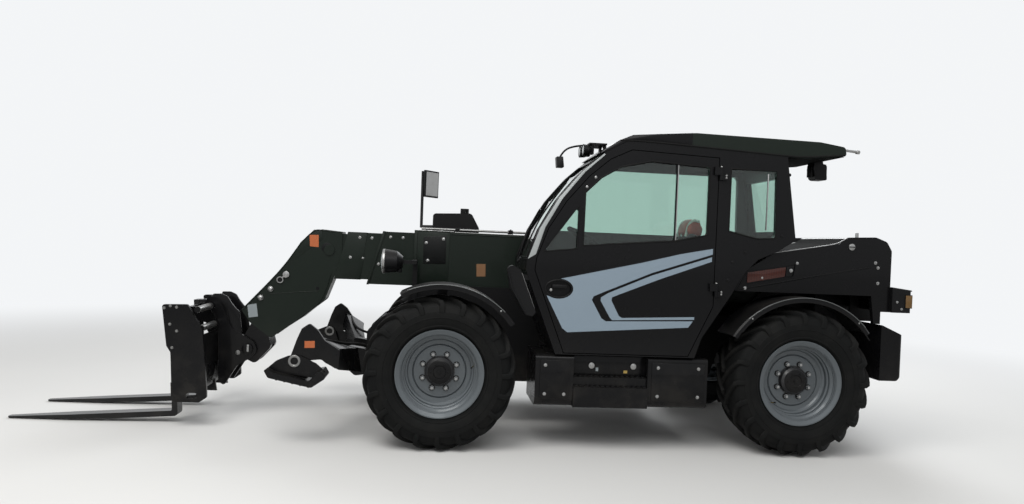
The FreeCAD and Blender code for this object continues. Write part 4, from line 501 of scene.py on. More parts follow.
class Shaper:
    """Builds one piece from shapes that bmesh operators make, each in a finish of its own."""

    def __init__(self, name: str, finish: Finish) -> None:
        """Starts an empty piece with its first finish."""
        self.name = name
        self.mesh = bmesh.new()
        self.finishes: list[Finish] = []
        self.current = 0
        self.use(finish)

    def use(self, finish: Finish) -> "Shaper":
        """Gives the shapes that follow a finish."""
        if finish not in self.finishes:
            self.finishes.append(finish)
        self.current = self.finishes.index(finish)
        return self

    def take(self, shape: bmesh.types.BMesh, degrees: float = 32.0, place: Matrix | None = None) -> "Shaper":
        """Adds a finished shape to the piece.

        Args:
            shape: the shape, which this call frees.
            degrees: the angle above which its edges stay sharp.
            place: where the shape goes, if it isn't in place already.

        Returns:
            The shaper itself.
        """
        if place is not None:
            shape.transform(place)
        bmesh.ops.recalc_face_normals(shape, faces=shape.faces[:])
        shade_by_angle(shape, degrees)
        for face in shape.faces:
            face.material_index = self.current
        held = bpy.data.meshes.new("held")
        shape.to_mesh(held)
        shape.free()
        self.mesh.from_mesh(held)
        bpy.data.meshes.remove(held)
        return self

    def slab(self, outline: Sequence[Point], plane: Plane, low: float, high: float, corner: float = 0.0,
             edge: float = 0.0) -> "Shaper":
        """Draws an outline out along an axis.

        Args:
            outline: its corners, in the order of the other two axes.
            plane: the axis along which it is drawn out.
            low: where it starts on that axis.
            high: where it ends.
            corner: the radius of its corners.
            edge: the width of the bevel round its two faces.

        Returns:
            The shaper itself.
        """
        shape = bmesh.new()
        face = shape.faces.new([shape.verts.new(plane.lift(u, v, low)) for u, v in outline])
        if corner:
            bmesh.ops.bevel(shape, geom=face.verts[:], offset=corner, affect="VERTICES", segments=6, profile=0.5,
                            material=-1, clamp_overlap=True)
        drawn = bmesh.ops.extrude_face_region(shape, geom=shape.faces[:])
        moved = [part for part in drawn["geom"] if isinstance(part, bmesh.types.BMVert)]
        bmesh.ops.translate(shape, verts=moved, vec=plane.axis * (high - low))
        bmesh.ops.recalc_face_normals(shape, faces=shape.faces[:])
        if edge:
            rims = [line for line in shape.edges if any(len(side.verts) > 4 for side in line.link_faces)]
            rims = rims or shape.edges[:]
            if len(outline) == 4 and not corner:
                rims = shape.edges[:]
            bmesh.ops.bevel(shape, geom=rims, offset=edge, affect="EDGES", segments=2, profile=0.5, material=-1,
                            clamp_overlap=True)
        return self.take(shape)

    def box(self, low: Sequence[float], high: Sequence[float], edge: float = 0.0) -> "Shaper":
        """Adds a box between two corners, with bevelled edges."""
        outline = [(low[0], low[2]), (high[0], low[2]), (high[0], high[2]), (low[0], high[2])]
        return self.slab(outline, Plane.ACROSS_Y, low[1], high[1], 0.0, edge)

    def rod(self, start: Sequence[float], end: Sequence[float], radius: float, sides: int = 24, edge: float = 0.0,
            end_radius: float | None = None) -> "Shaper":
        """Adds a round bar, cone or, with six sides, a hexagon between two points.

        Args:
            start: the middle of its first end.
            end: the middle of its other end.
            radius: its radius at the start.
            sides: its number of sides.
            edge: the width of the bevel round its ends.
            end_radius: its radius at the end, if it tapers.

        Returns:
            The shaper itself.
        """
        along = Vector(end) - Vector(start)
        shape = bmesh.new()
        bmesh.ops.create_cone(shape, cap_ends=True, segments=sides, radius1=radius,
                              radius2=radius if end_radius is None else end_radius, depth=along.length)
        if edge:
            rims = [line for line in shape.edges if any(len(side.verts) > 4 for side in line.link_faces)]
            bmesh.ops.bevel(shape, geom=rims, offset=edge, affect="EDGES", segments=2, profile=0.5, material=-1)
        turn = along.to_track_quat("Z", "Y").to_matrix().to_4x4()
        return self.take(shape, place=Matrix.Translation((Vector(start) + Vector(end)) / 2.0) @ turn)

    def bolt(self, centre: Sequence[float], outward: Sequence[float], size: float = 0.012) -> "Shaper":
        """Adds a hexagon bolt's head on its washer.

        Args:
            centre: the point on the surface that the washer lies on.
            outward: the direction away from the surface.
            size: the head's radius.

        Returns:
            The shaper itself.
        """
        root = Vector(centre)
        out = Vector(outward).normalized()
        self.rod(root - out * 0.0005, root + out * size * 0.25, size * 1.45, 20, size * 0.06)
        return self.rod(root + out * size * 0.2, root + out * size * 0.95, size, 6, size * 0.12)

    def ball(self, centre: Sequence[float], radii: Sequence[float], steps: int = 16) -> "Shaper":
        """Adds a ball stretched to three radii."""
        shape = bmesh.new()
        bmesh.ops.create_uvsphere(shape, u_segments=steps * 2, v_segments=steps, radius=1.0)
        return self.take(shape, 60.0, Matrix.Translation(centre) @ Matrix.Diagonal((*radii, 1.0)))

    def spun(self, profile: Sequence[Point], centre: Sequence[float], axis: Sequence[float], steps: int = 48,
             closed: bool = True, degrees: float = 32.0) -> "Shaper":
        """Turns a profile about an axis.

        Args:
            profile: (along the axis, radius) points.
            centre: the point on the axis from which the profile is measured.
            axis: the axis.
            steps: the number of steps in the full turn.
            closed: whether the profile's last point joins its first.
            degrees: the angle above which edges stay sharp.

        Returns:
            The shaper itself.
        """
        shape = bmesh.new()
        ring = [shape.verts.new((radius, 0.0, along)) for along, radius in profile]
        pairs = list(zip(ring, ring[1:])) + ([(ring[-1], ring[0])] if closed else [])
        lines = [shape.edges.new(pair) for pair in pairs]
        bmesh.ops.spin(shape, geom=ring + lines, cent=(0, 0, 0), axis=(0, 0, 1), angle=FULL_TURN, steps=steps,
                       use_merge=True)
        bmesh.ops.remove_doubles(shape, verts=shape.verts[:], dist=1e-6)
        turn = Vector(axis).to_track_quat("Z", "Y").to_matrix().to_4x4()
        return self.take(shape, degrees, Matrix.Translation(centre) @ turn)

    def pipe(self, points: Iterable[Sequence[float]], radius: float, smooth: bool = True, ring: bool = False
             ) -> "Shaper":
        """Adds a pipe or hose along points.

        Args:
            points: the points that it follows.
            radius: its radius.
            smooth: whether it bends smoothly between them.
            ring: whether its last point joins its first.

        Returns:
            The shaper itself.
        """
        curve = bpy.data.curves.new("line", "CURVE")
        curve.dimensions = "3D"
        curve.bevel_depth = radius
        curve.bevel_resolution = 3
        curve.use_fill_caps = True
        route = [Vector(point) for point in points]
        spline = curve.splines.new("NURBS" if smooth else "POLY")
        spline.points.add(len(route) - 1)
        spline.use_cyclic_u = ring
        for knot, point in zip(spline.points, route):
            knot.co = (*point, 1.0)
        if smooth:
            spline.order_u = 3
            spline.use_endpoint_u = True
            spline.resolution_u = 8
        holder = bpy.data.objects.new("line", curve)
        made = bpy.data.meshes.new_from_object(holder)
        shape = bmesh.new()
        shape.from_mesh(made)
        bmesh.ops.remove_doubles(shape, verts=shape.verts[:], dist=1e-6)
        bpy.data.objects.remove(holder)
        bpy.data.curves.remove(curve)
        bpy.data.meshes.remove(made)
        return self.take(shape, 50.0)

    def done(self, body: str, replaced: Sequence[str] = ()) -> bpy.types.Object:
        """Ends the piece as an object at the origin that rides on a body.

        Args:
            body: the body that carries it.
            replaced: the nodes that it stands for.

        Returns:
            The piece.
        """
        data = bpy.data.meshes.new(self.name)
        self.mesh.to_mesh(data)
        self.mesh.free()
        for finish in self.finishes:
            data.materials.append(material_of(finish))
        piece = bpy.data.objects.new(self.name, data)
        bpy.context.scene.collection.objects.link(piece)
        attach(piece, body)
        if replaced:
            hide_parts(*replaced)
        LOG.info("%s rides on %s, %d faces", self.name, body, len(data.polygons))
        return piece


@dataclass(frozen=True)
class Datum:
    """The middle of the front axle on the ground, from which the machine was measured."""

    front_axle: float

    @classmethod
    def from_frame(cls) -> "Datum":
        """Reads the front axle's place from a packed tyre."""
        low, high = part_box("tyre_front_left")
        return cls((low.x + high.x) / 2.0)

    def at(self, x: float, y: float, z: float) -> Vector:
        """A point of the row's frame from one measured from the front axle."""
        return Vector((x + self.front_axle, y, z))

    def side(self, outline: Iterable[Point]) -> list[Point]:
        """A side view's outline, moved from the front axle to the row's frame."""
        return [(x + self.front_axle, z) for x, z in outline]


@dataclass
class Assembly:
    """A sub-assembly, which places its pieces from the datum."""

    datum: Datum

    def at(self, x: float, y: float, z: float) -> Vector:
        """A point measured from the front axle, in the row's frame."""
        return self.datum.at(x, y, z)

    def path(self, *spots: Spot) -> list[Vector]:
        """Points measured from the front axle, in the row's frame."""
        return [self.at(*spot) for spot in spots]

    def line(self, y: float, points: Iterable[Point]) -> list[Vector]:
        """A side view's points, all at one distance from the middle plane."""
        return [self.at(x, y, z) for x, z in points]

    def plate(self, piece: Shaper, outline: Iterable[Point], near: float, far: float, corner: float = 0.0,
              edge: float = 0.0) -> None:
        """Adds an upright plate that lies along the machine.

        Args:
            piece: the piece that it becomes part of.
            outline: its side view, as (x, z) points from the front axle.
            near: where one face is, across the machine.
            far: where the other face is.
            corner: the radius of its corners.
            edge: the width of the bevel round its two faces.
        """
        piece.slab(self.datum.side(outline), Plane.ACROSS_Y, min(near, far), max(near, far), corner, edge)

    def build(self) -> None:
        """Makes the pieces."""
        raise NotImplementedError


@dataclass
class Frame:
    """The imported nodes, each dressed in the finish of its slot."""

    nodes: dict[str, bpy.types.Object]

    def wheel_centre(self, node: str) -> Spot:
        """The middle of a wheel, from its tyre's box."""
        low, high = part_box("tyre_" + node.split("_", 1)[1])
        return tuple((low + high) / 2.0)

    def finish_of(self, node: str, slot: str) -> Finish:
        """The finish of one node's slot.

        Args:
            node: the node's name.
            slot: the material slot's name in the record.

        Returns:
            The finish.
        """
        place = node.split("_", 1)[1] if "_" in node else node
        if slot == "silver_rim":
            return WheelPaint("wheel_paint_" + place, RIM_SILVER, self.wheel_centre(node))
        if node == "forks":
            return FORK_PAINT
        if slot == "tyre_rubber":
            return Tyre("tyre_rubber_" + place, TYRE_BLACK, self.wheel_centre(node))
        return SLOT_FINISHES[slot]

    def dress(self) -> None:
        """Gives every node its finishes."""
        for name, node in sorted(self.nodes.items()):
            for slot in node.material_slots:
                slot.material = material_of(self.finish_of(name, slot.material.name.split(".")[0]))
            LOG.info("%s dressed", name)


@dataclass
class Wheel(Assembly):
    """One wheel: a tyre with bar lugs in place of its node, and the rim's ridges, nuts, hub and valve."""

    place: str
    lug_count: int = 20
    lead: float = 0.36
    lug_width: float = 0.040
    stud_circle: float = 0.1375
    stud_count: int = 8
    ridge: tuple[Point, ...] = ((-0.006, 0.003), (-0.003, -0.005), (0.003, -0.005), (0.006, 0.003))
    lip_radius: float = 0.6355
    lip_bolt_radius: float = 0.653
    lip_bolts: tuple[float, float] = (0.86, 2.30)
    carcass: tuple[Point, ...] = (
        (0.0, 0.5525), (0.05, 0.552), (0.10, 0.548), (0.145, 0.538), (0.172, 0.522), (0.186, 0.498), (0.192, 0.470),
        (0.1935, 0.4675), (0.197, 0.465), (0.199, 0.440), (0.1985, 0.428), (0.2005, 0.426), (0.2005, 0.421),
        (0.197, 0.419), (0.192, 0.385), (0.184, 0.366), (0.186, 0.362), (0.183, 0.352), (0.168, 0.343),
        (0.151, 0.334), (0.150, 0.310))
    lug_base: tuple[Point, ...] = (
        (0.002, 0.548), (0.05, 0.548), (0.10, 0.544), (0.145, 0.534), (0.170, 0.518), (0.184, 0.490), (0.188, 0.455))
    lug_top: tuple[Point, ...] = (
        (0.002, 0.5795), (0.05, 0.579), (0.10, 0.5755), (0.148, 0.568), (0.184, 0.553), (0.201, 0.512),
        (0.2005, 0.462))

    def __post_init__(self) -> None:
        """Finds the wheel's centre, its side and its finishes."""
        low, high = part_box("tyre_" + self.place)
        self.centre = (low + high) / 2.0
        self.side = 1.0 if self.centre.y > 0.0 else -1.0
        self.rubber = Tyre("tyre_rubber_" + self.place, TYRE_BLACK, tuple(self.centre))
        self.silver = WheelPaint("wheel_paint_" + self.place, RIM_SILVER, tuple(self.centre))

    def rim_point(self, depth: float, radius: float, angle: float) -> Vector:
        """A point of the wheel from its depth along the axle, outwards, its radius and its angle."""
        return self.centre + Vector((radius * math.cos(angle), self.side * depth, radius * math.sin(angle)))

    def along(self, path: Sequence[Point], share: float) -> Vector:
        """A point at a share of a path's steps."""
        step = min(int(share * (len(path) - 1)), len(path) - 2)
        part = share * (len(path) - 1) - step
        return Vector(path[step]).lerp(Vector(path[step + 1]), part)

    def lug(self, turn: float, side: float) -> bmesh.types.BMesh:
        """One bar lug, from the tread's middle over the shoulder.

        Args:
            turn: the angle of its outer end.
            side: 1 for the wheel's outer side, -1 for its inner side.

        Returns:
            The lug's shape.
        """
        shape = bmesh.new()
        bmesh.ops.create_cube(shape, size=1.0)
        lengthwise = [edge for edge in shape.edges if abs(edge.verts[0].co.x - edge.verts[1].co.x) > 0.5]
        bmesh.ops.subdivide_edges(shape, edges=lengthwise, cuts=8, use_grid_fill=True)
        brow = [edge for edge in shape.edges if all(vert.co.z > 0.4 and abs(vert.co.y) > 0.4 for vert in edge.verts)
                and abs(edge.verts[0].co.x - edge.verts[1].co.x) > 1e-4]
        bmesh.ops.bevel(shape, geom=brow, offset=0.13, affect="EDGES", segments=2, profile=0.5, material=-1)
        for vert in shape.verts:
            share = vert.co.x + 0.5
            height = vert.co.z + 0.5
            spot = self.along(self.lug_base, share).lerp(self.along(self.lug_top, share), height)
            width = self.lug_width * (0.86 + 0.5 * share * (1.15 - share)) * (1.12 - 0.22 * height)
            angle = turn - self.lead * max(0.0, 1.0 - share / 0.74) ** 1.15 + vert.co.y * width / spot.y
            vert.co = self.rim_point(side * spot.x, spot.y, angle)
        return shape

    def make_tyre(self) -> None:
        """The tyre: one carcass and two rows of lugs, half a pitch apart."""
        tyre = Shaper("lugged_tyre_" + self.place, self.rubber)
        inner = [(-depth, radius) for depth, radius in reversed(self.carcass[1:])]
        lining = [(0.120, 0.315), (0.150, 0.370), (0.176, 0.430), (0.160, 0.500), (0.0, 0.530), (-0.160, 0.500),
                  (-0.176, 0.430), (-0.150, 0.370), (-0.120, 0.315)]
        profile = inner + list(self.carcass) + lining
        tyre.spun(profile, self.centre, (0.0, self.side, 0.0), 96, degrees=40.0)
        for index in range(self.lug_count):
            turn = FULL_TURN * index / self.lug_count
            tyre.take(self.lug(turn, 1.0), 40.0)
            tyre.take(self.lug(turn + math.pi / self.lug_count, -1.0), 40.0)
        tyre.done("wheel_" + self.place, ["tyre_" + self.place])

    def make_rim_details(self) -> None:
        """Ridges, nuts on dark washers, the hub's plug and bolts, and the valve."""
        outward = Vector((0.0, self.side, 0.0))
        trim = Shaper("rim_details_" + self.place, self.silver)
        for depth, radius in ((0.143, 0.2975), (0.124, 0.2945), (0.092, 0.277), (0.060, 0.2665)):
            ridge = [(depth + step, radius + rise) for step, rise in self.ridge]
            trim.spun(ridge, self.centre, outward, 72)
        dish = [(0.010, 0.252), (0.034, 0.258), (0.030, 0.247), (0.019, 0.236), (0.015, 0.208), (0.010, 0.204)]
        trim.spun(dish, self.centre, outward, 72, degrees=25.0)
        bead = [(0.017, 0.199), (0.0205, 0.197), (0.0215, 0.192), (0.0205, 0.187), (0.017, 0.186)]
        trim.spun(bead, self.centre, outward, 72, degrees=60.0)
        for index in range(self.stud_count):
            angle = FULL_TURN * (index + 0.5) / self.stud_count
            foot = self.rim_point(0.018, self.stud_circle, angle)
            trim.use(BLACK_PAINT).rod(foot, foot + outward * 0.006, 0.0235, 24, 0.001)
            trim.use(BRIGHT_STEEL).rod(foot + outward * 0.005, foot + outward * 0.021, 0.0185, 6, 0.0015)
            trim.rod(foot + outward * 0.02, foot + outward * 0.031, 0.0105, 16, 0.001)
        trim.use(BLACK_PAINT)
        cap = [(0.060, 0.094), (0.073, 0.090), (0.078, 0.080), (0.079, 0.050), (0.074, 0.046), (0.074, 0.0005),
               (0.060, 0.0005)]
        trim.spun(cap, self.centre, outward, 48)
        for index in range(6):
            trim.bolt(self.rim_point(0.079, 0.066, FULL_TURN * index / 6.0), outward, 0.0055)
        trim.bolt(self.rim_point(0.074, 0.0, 0.0), outward, 0.013)
        valve = 2.96 if "front" in self.place else -0.75
        root = self.rim_point(0.030, 0.262, valve)
        tip = self.rim_point(0.098, 0.243, valve)
        trim.use(BRASS).pipe([root, root.lerp(tip, 0.5), tip], 0.0042, False)
        trim.use(BLACK_PLASTIC).rod(tip, tip + (tip - root).normalized() * 0.016, 0.0062, 12, 0.001)
        trim.done("wheel_" + self.place)

    def make_fender_trim(self) -> None:
        """Rubber strip under the fender's outer lip, a pale line of painted highlight along its upper edge, and its
        two small bolts.
        """
        low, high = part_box("fender_" + self.place)
        strip = Shaper("fender_trim_" + self.place, RUBBER)
        first, last = (0.62, 2.50) if "front" in self.place else (0.66, 2.55)
        turns = [first + (last - first) * step / 24.0 for step in range(25)]
        depth = abs(high.y if self.side > 0 else low.y) - abs(self.centre.y)
        under = [self.rim_point(depth - 0.004, self.lip_radius, turn) for turn in turns]
        strip.pipe([point for point in under if low.x < point.x < high.x and low.z < point.z], 0.005)
        # A pale film line along the fender's upper edge: a painted highlight where the edge catches the light.
        top = high.z - self.centre.z - 0.0035
        brow = [self.rim_point(depth - 0.002, top, turn) for turn in turns[2:-2]]
        strip.use(FENDER_HIGHLIGHT).pipe([point for point in brow if low.x + 0.01 < point.x < high.x - 0.01], 0.0035)
        strip.use(BRIGHT_STEEL)
        for angle in self.lip_bolts:
            spot = self.rim_point(depth + 0.0002, self.lip_bolt_radius, angle)
            if low.x + 0.03 < spot.x < high.x - 0.03:
                strip.bolt(spot, (0.0, self.side, 0.0), 0.0045)
        strip.done("steer_" + self.place)

    def build(self) -> None:
        """Makes the wheel."""
        self.make_tyre()
        self.make_rim_details()
        self.make_fender_trim()


@dataclass
class Boom(Assembly):
    """Collars, bolts, pipes and blank labels of the telescopic boom."""

    second_half: float = 0.153
    outer_half: float = 0.175
    third_half: float = 0.131
    collar_plate: tuple[Point, ...] = ((-0.022, 1.372), (0.170, 1.366), (0.174, 1.600), (-0.018, 1.612))
    label: tuple[Point, ...] = ((-0.372, 1.276), (-0.295, 1.273), (-0.290, 1.381), (-0.369, 1.384))
    outer_bolts: tuple[Point, ...] = ((0.150, 1.547), (0.004, 1.584), (0.132, 1.394))
    second_bolts: tuple[Point, ...] = ((0.457, 1.583), (0.351, 1.581), (0.551, 1.347))
    third_bolts: tuple[Point, ...] = ((0.720, 1.569), (0.617, 1.568), (0.794, 1.395), (0.689, 1.393))

    def both(self, piece: Shaper, outline: Sequence[Point], half: float, thickness: float,
             edge: float = 0.002) -> None:
        """Adds a plate to both sides of the boom."""
        for side in (1.0, -1.0):
            self.plate(piece, outline, side * (half - 0.002), side * (half + thickness), 0.0, edge)

    def bolts(self, piece: Shaper, spots: Iterable[Point], half: float, size: float) -> None:
        """Adds bolts at (x, z) points of both sides of the boom."""
        for x, z in spots:
            for side in (1.0, -1.0):
                piece.bolt(self.at(x, side * half, z), (0.0, side, 0.0), size)

    def make_outer(self) -> None:
        """The outer section's collar with its wear-pad bolts, its seams and pipes, and a bright steel strip of
        painted highlight along the near top edge.
        """
        collar = Shaper("boom_collar", OLIVE_PAINT)
        self.both(collar, [(-0.05, 1.128), (0.25, 1.128), (0.25, 1.647), (-0.05, 1.647)], self.outer_half, 0.004)
        collar.box(self.at(-0.05, -0.179, 1.640), self.at(0.25, 0.179, 1.6525), 0.002)
        collar.box(self.at(0.232, -0.184, 1.122), self.at(0.254, 0.184, 1.136), 0.003)
        self.both(collar, [(0.228, 1.124), (0.254, 1.124), (0.254, 1.653), (0.228, 1.653)], self.outer_half, 0.010)
        collar.use(COLLAR_PAINT)
        self.both(collar, self.collar_plate, self.outer_half, 0.009, 0.003)
        collar.use(BRIGHT_STEEL)
        self.bolts(collar, self.outer_bolts, self.outer_half + 0.009, 0.0092)
        for y in (-0.11, 0.11):
            for x in (0.02, 0.16):
                collar.bolt(self.at(x, y, 1.6525), (0.0, 0.0, 1.0), 0.012)
        collar.done("boom")
        seams = Shaper("boom_seams", OLIVE_PAINT)
        for side in (1.0, -1.0):
            for z in (1.148, 1.630):
                seams.pipe(self.line(side * 0.1755, ((-2.80, z), (-0.06, z))), 0.005, False)
        # A bright steel strip along the near side of the boom's top edge, raised over the collar: a painted highlight
        # where the edge catches the light.
        seams.use(BRIGHT_STEEL)
        for x_low, x_high in ((-2.78, -0.09), (-0.085, 0.222)):
            raised = x_low > -1.0
            seams.box(self.at(x_low, 0.160, 1.644 + 0.004 * raised),
                      self.at(x_high, 0.1745, 1.650 + 0.005 * raised), 0.001)
        seams.use(BARE_STEEL)
        for y, z in ((-0.13, 1.672), (-0.10, 1.672), (-0.07, 1.672)):
            seams.pipe(self.line(y, ((-3.05, z - 0.01), (-2.6, z), (-0.5, z), (0.20, z))), 0.011)
        seams.use(FRAME_PAINT)
        for x in (-2.55, -1.9, -1.2, -0.6, -0.12):
            seams.box(self.at(x - 0.02, -0.152, 1.640), self.at(x + 0.02, -0.048, 1.690), 0.004)
            seams.bolt(self.at(x, -0.085, 1.690), (0.0, 0.0, 1.0), 0.008)
        seams.done("boom")

    def make_sections(self) -> None:
        """Front collars of the two middle sections."""
        second = Shaper("boom_second_collar", OLIVE_PAINT)
        band = [(0.627, 1.168), (0.648, 1.168), (0.523, 1.632), (0.502, 1.632)]
        self.both(second, band, self.second_half, 0.010)
        second.use(BRIGHT_STEEL)
        self.bolts(second, self.second_bolts, self.second_half + 0.0005, 0.0085)
        second.done("telescope_second")
        third = Shaper("boom_third_collar", OLIVE_PAINT)
        self.both(third, [(0.700, 1.205), (0.925, 1.205), (0.822, 1.613), (0.660, 1.613)], self.third_half, 0.004)
        third.use(BRIGHT_STEEL)
        self.bolts(third, self.third_bolts[:1] + self.third_bolts[2:3], self.third_half + 0.0045, 0.0085)
        self.bolts(third, self.third_bolts[1:2] + self.third_bolts[3:], self.third_half + 0.0005, 0.0085)
        third.done("telescope_third")

    def make_labels(self) -> None:
        """Blank labels on both sides of the boom."""
        labels = Shaper("boom_labels", LABEL_AMBER)
        self.both(labels, self.label, self.outer_half, 0.0006, 0.0)
        labels.done("boom")

    def build(self) -> None:
        """Makes the boom's pieces."""
        self.make_outer()
        self.make_sections()
        self.make_labels()


@dataclass
class Head(Assembly):
    """Goose-neck: shoulder plate, edge welds, boss, couplers, tilt pins and blank labels."""

    half: float = 0.120
    orange_label: tuple[Point, ...] = ((1.066, 1.470), (1.139, 1.474), (1.147, 1.572), (1.070, 1.575))
    grey_label: tuple[Point, ...] = ((1.550, 0.858), (1.626, 0.847), (1.642, 0.953), (1.567, 0.969))
    shoulder: tuple[Point, ...] = (
        (1.03, 1.54), (1.05, 1.6195), (1.110, 1.6185), (1.218, 1.508), (1.342, 1.308), (1.20, 1.40))
    rail: tuple[Point, ...] = (
        (0.93, 1.606), (1.05, 1.6185), (1.108, 1.616), (1.214, 1.506), (1.338, 1.310), (1.485, 1.133), (1.683, 0.910))
    weld: tuple[Point, ...] = ((1.46, 1.055), (1.25, 1.078), (1.057, 1.092))
    belly: tuple[Point, ...] = ((0.955, 1.245), (1.005, 1.025), (1.115, 0.931), (1.20, 0.861), (1.43, 0.687))

    def make_neck(self) -> None:
        """The shoulder plate, welded edges, the boss and its pin, and labels."""
        neck = Shaper("neck_fittings", OLIVE_PAINT)
        self.plate(neck, self.shoulder, -self.half - 0.0012, self.half + 0.0012, 0.0, 0.001)
        for side in (1.0, -1.0):
            for line in (self.rail, self.belly):
                neck.pipe(self.line(side * (self.half + 0.0005), line), 0.005)
            neck.use(OLIVE_PAINT).pipe(self.line(side * (self.half + 0.0005), self.weld), 0.003)
            low, high = sorted((side * (self.half - 0.001), side * (self.half + 0.0035)))
            neck.use(COLLAR_PAINT).rod(self.at(0.997, low, 1.466), self.at(0.997, high, 1.466), 0.044, 40, 0.0015)
            boss, face = self.path((0.997, high, 1.466), (0.997, high + side * 0.002, 1.466))
            neck.use(BLACK_PAINT).rod(boss, face, 0.024, 32, 0.001)
            neck.rod(self.at(1.061, side * 0.118, 1.115), self.at(1.061, side * 0.1212, 1.115), 0.014, 24)
            low, high = side * (self.half - 0.001), side * (self.half + 0.0020)
            self.plate(neck.use(LABEL_ORANGE), self.orange_label, low, high, 0.004)
            self.plate(neck.use(LABEL_GREY), self.grey_label, low, high, 0.003)
            neck.use(OLIVE_PAINT)
        neck.done("telescope_head")

    def make_couplers(self) -> None:
        """Oil couplers along the neck's front edge: a ring with its link, and two capped ends."""
        lines = Shaper("neck_couplers", BRIGHT_STEEL)
        face = self.half - 0.001
        foot = self.at(1.328, face, 1.226)
        ring = self.at(1.377, face, 1.179)
        out = Vector((0.0, 1.0, 0.0))
        lines.rod(foot, foot + out * 0.020, 0.028, 32, 0.004)
        lines.rod(foot + out * 0.020, foot + out * 0.027, 0.018, 6, 0.002)
        hoop = [(0.0, 0.019), (0.0, 0.029), (0.009, 0.0305), (0.016, 0.028), (0.016, 0.021), (0.008, 0.0185)]
        lines.spun(hoop, ring, out, 40)
        lines.rod(foot.lerp(ring, 0.28) + out * 0.007, foot.lerp(ring, 0.72) + out * 0.007, 0.0085, 16, 0.002)
        lines.use(BLACK_PLASTIC).rod(ring, ring + out * 0.008, 0.0195, 32, 0.002)
        for x, z in ((1.454, 1.097), (1.534, 1.020)):
            spot = self.at(x, face, z)
            lines.use(BRIGHT_STEEL).rod(spot, spot + out * 0.012, 0.024, 32, 0.003)
            lines.ball(spot + out * 0.012, (0.021, 0.012, 0.021), 12)
            lines.rod(spot + out * 0.012, spot + out * 0.027, 0.009, 6, 0.0015)
        lines.done("telescope_head")

    def make_bracket(self) -> None:
        """Pin ends of the tilt bracket, each with its bolted keeper plate."""
        pins = Shaper("tilt_pins", BLACK_PAINT)
        for side in (1.0, -1.0):
            low, high = sorted((side * 0.163, side * 0.171))
            pins.use(BLACK_PAINT).rod(self.at(1.62, low, 0.585), self.at(1.62, high, 0.585), 0.046, 36, 0.003)
            low, high = sorted((side * 0.1705, side * 0.176))
            pins.use(BRIGHT_STEEL).box(self.at(1.604, low, 0.562), self.at(1.622, high, 0.622), 0.002)
            for z in (0.573, 0.611):
                pins.bolt(self.at(1.613, side * 0.176, z), (0.0, side, 0.0), 0.0055)
        pins.done("telescope_head")

    def build(self) -> None:
        """Makes the head's pieces."""
        self.make_neck()
        self.make_couplers()
        self.make_bracket()


@dataclass
class ToolEnd(Assembly):
    """Fork carriage and carrier: bolts, tube sleeves, fork stops and the carrier's cheeks."""

    outer: float = 0.555
    carrier_inner: float = 0.128
    carrier_plate: float = 0.024
    tubes: tuple[Point, ...] = ((1.930, 0.940), (1.895, 0.792))
    sleeves: tuple[Point, ...] = ((-0.526, -0.182), (-0.122, 0.122), (0.182, 0.526))
    cheek: tuple[Point, ...] = (
        (1.655, 0.645), (1.668, 0.690), (1.682, 0.785), (1.697, 0.896), (1.730, 0.926), (1.764, 0.967),
        (1.799, 1.022), (1.849, 1.044), (1.918, 1.042), (1.925, 1.005), (1.865, 0.940), (1.800, 0.750),
        (1.715, 0.660))
    bolts: tuple[Point, ...] = (
        (2.177, 0.948), (2.130, 0.966), (2.082, 0.956), (2.129, 0.821), (2.075, 0.768), (2.106, 0.635))

    def build(self) -> None:
        """Makes the carriage's pieces."""
        plates = Shaper("carriage_bolts", BARE_STEEL)
        for side in (1.0, -1.0):
            out = (0.0, side, 0.0)
            for x, z in self.bolts:
                plates.bolt(self.at(x, side * self.outer, z), out, 0.0080)
            plates.bolt(self.at(1.698, side * 0.152, 0.551), out, 0.014)
        for x, z in self.tubes:
            for y_low, y_high in self.sleeves:
                plates.rod(self.at(x, y_low, z), self.at(x, y_high, z), 0.0262, 40, 0.001)
        plates.use(BLACK_PAINT)
        for side in (1.0, -1.0):
            for x_low, x_high, z_low, z_high in ((2.10, 2.185, 0.70, 0.72), (2.03, 2.11, 0.33, 0.35)):
                low, high = sorted((side * 0.40, side * 0.53))
                plates.box(self.at(x_low - 0.06, low, z_low), self.at(x_high - 0.06, high, z_high), 0.003)
        plates.done("carriage")
        cheeks = Shaper("carrier_cheeks", BLACK_PAINT)
        for side in (1.0, -1.0):
            self.plate(cheeks, self.cheek, side * (self.carrier_inner + 0.0015),
                       side * (self.carrier_inner + self.carrier_plate - 0.0015), 0.008, 0.002)
        cheeks.done("carriage")


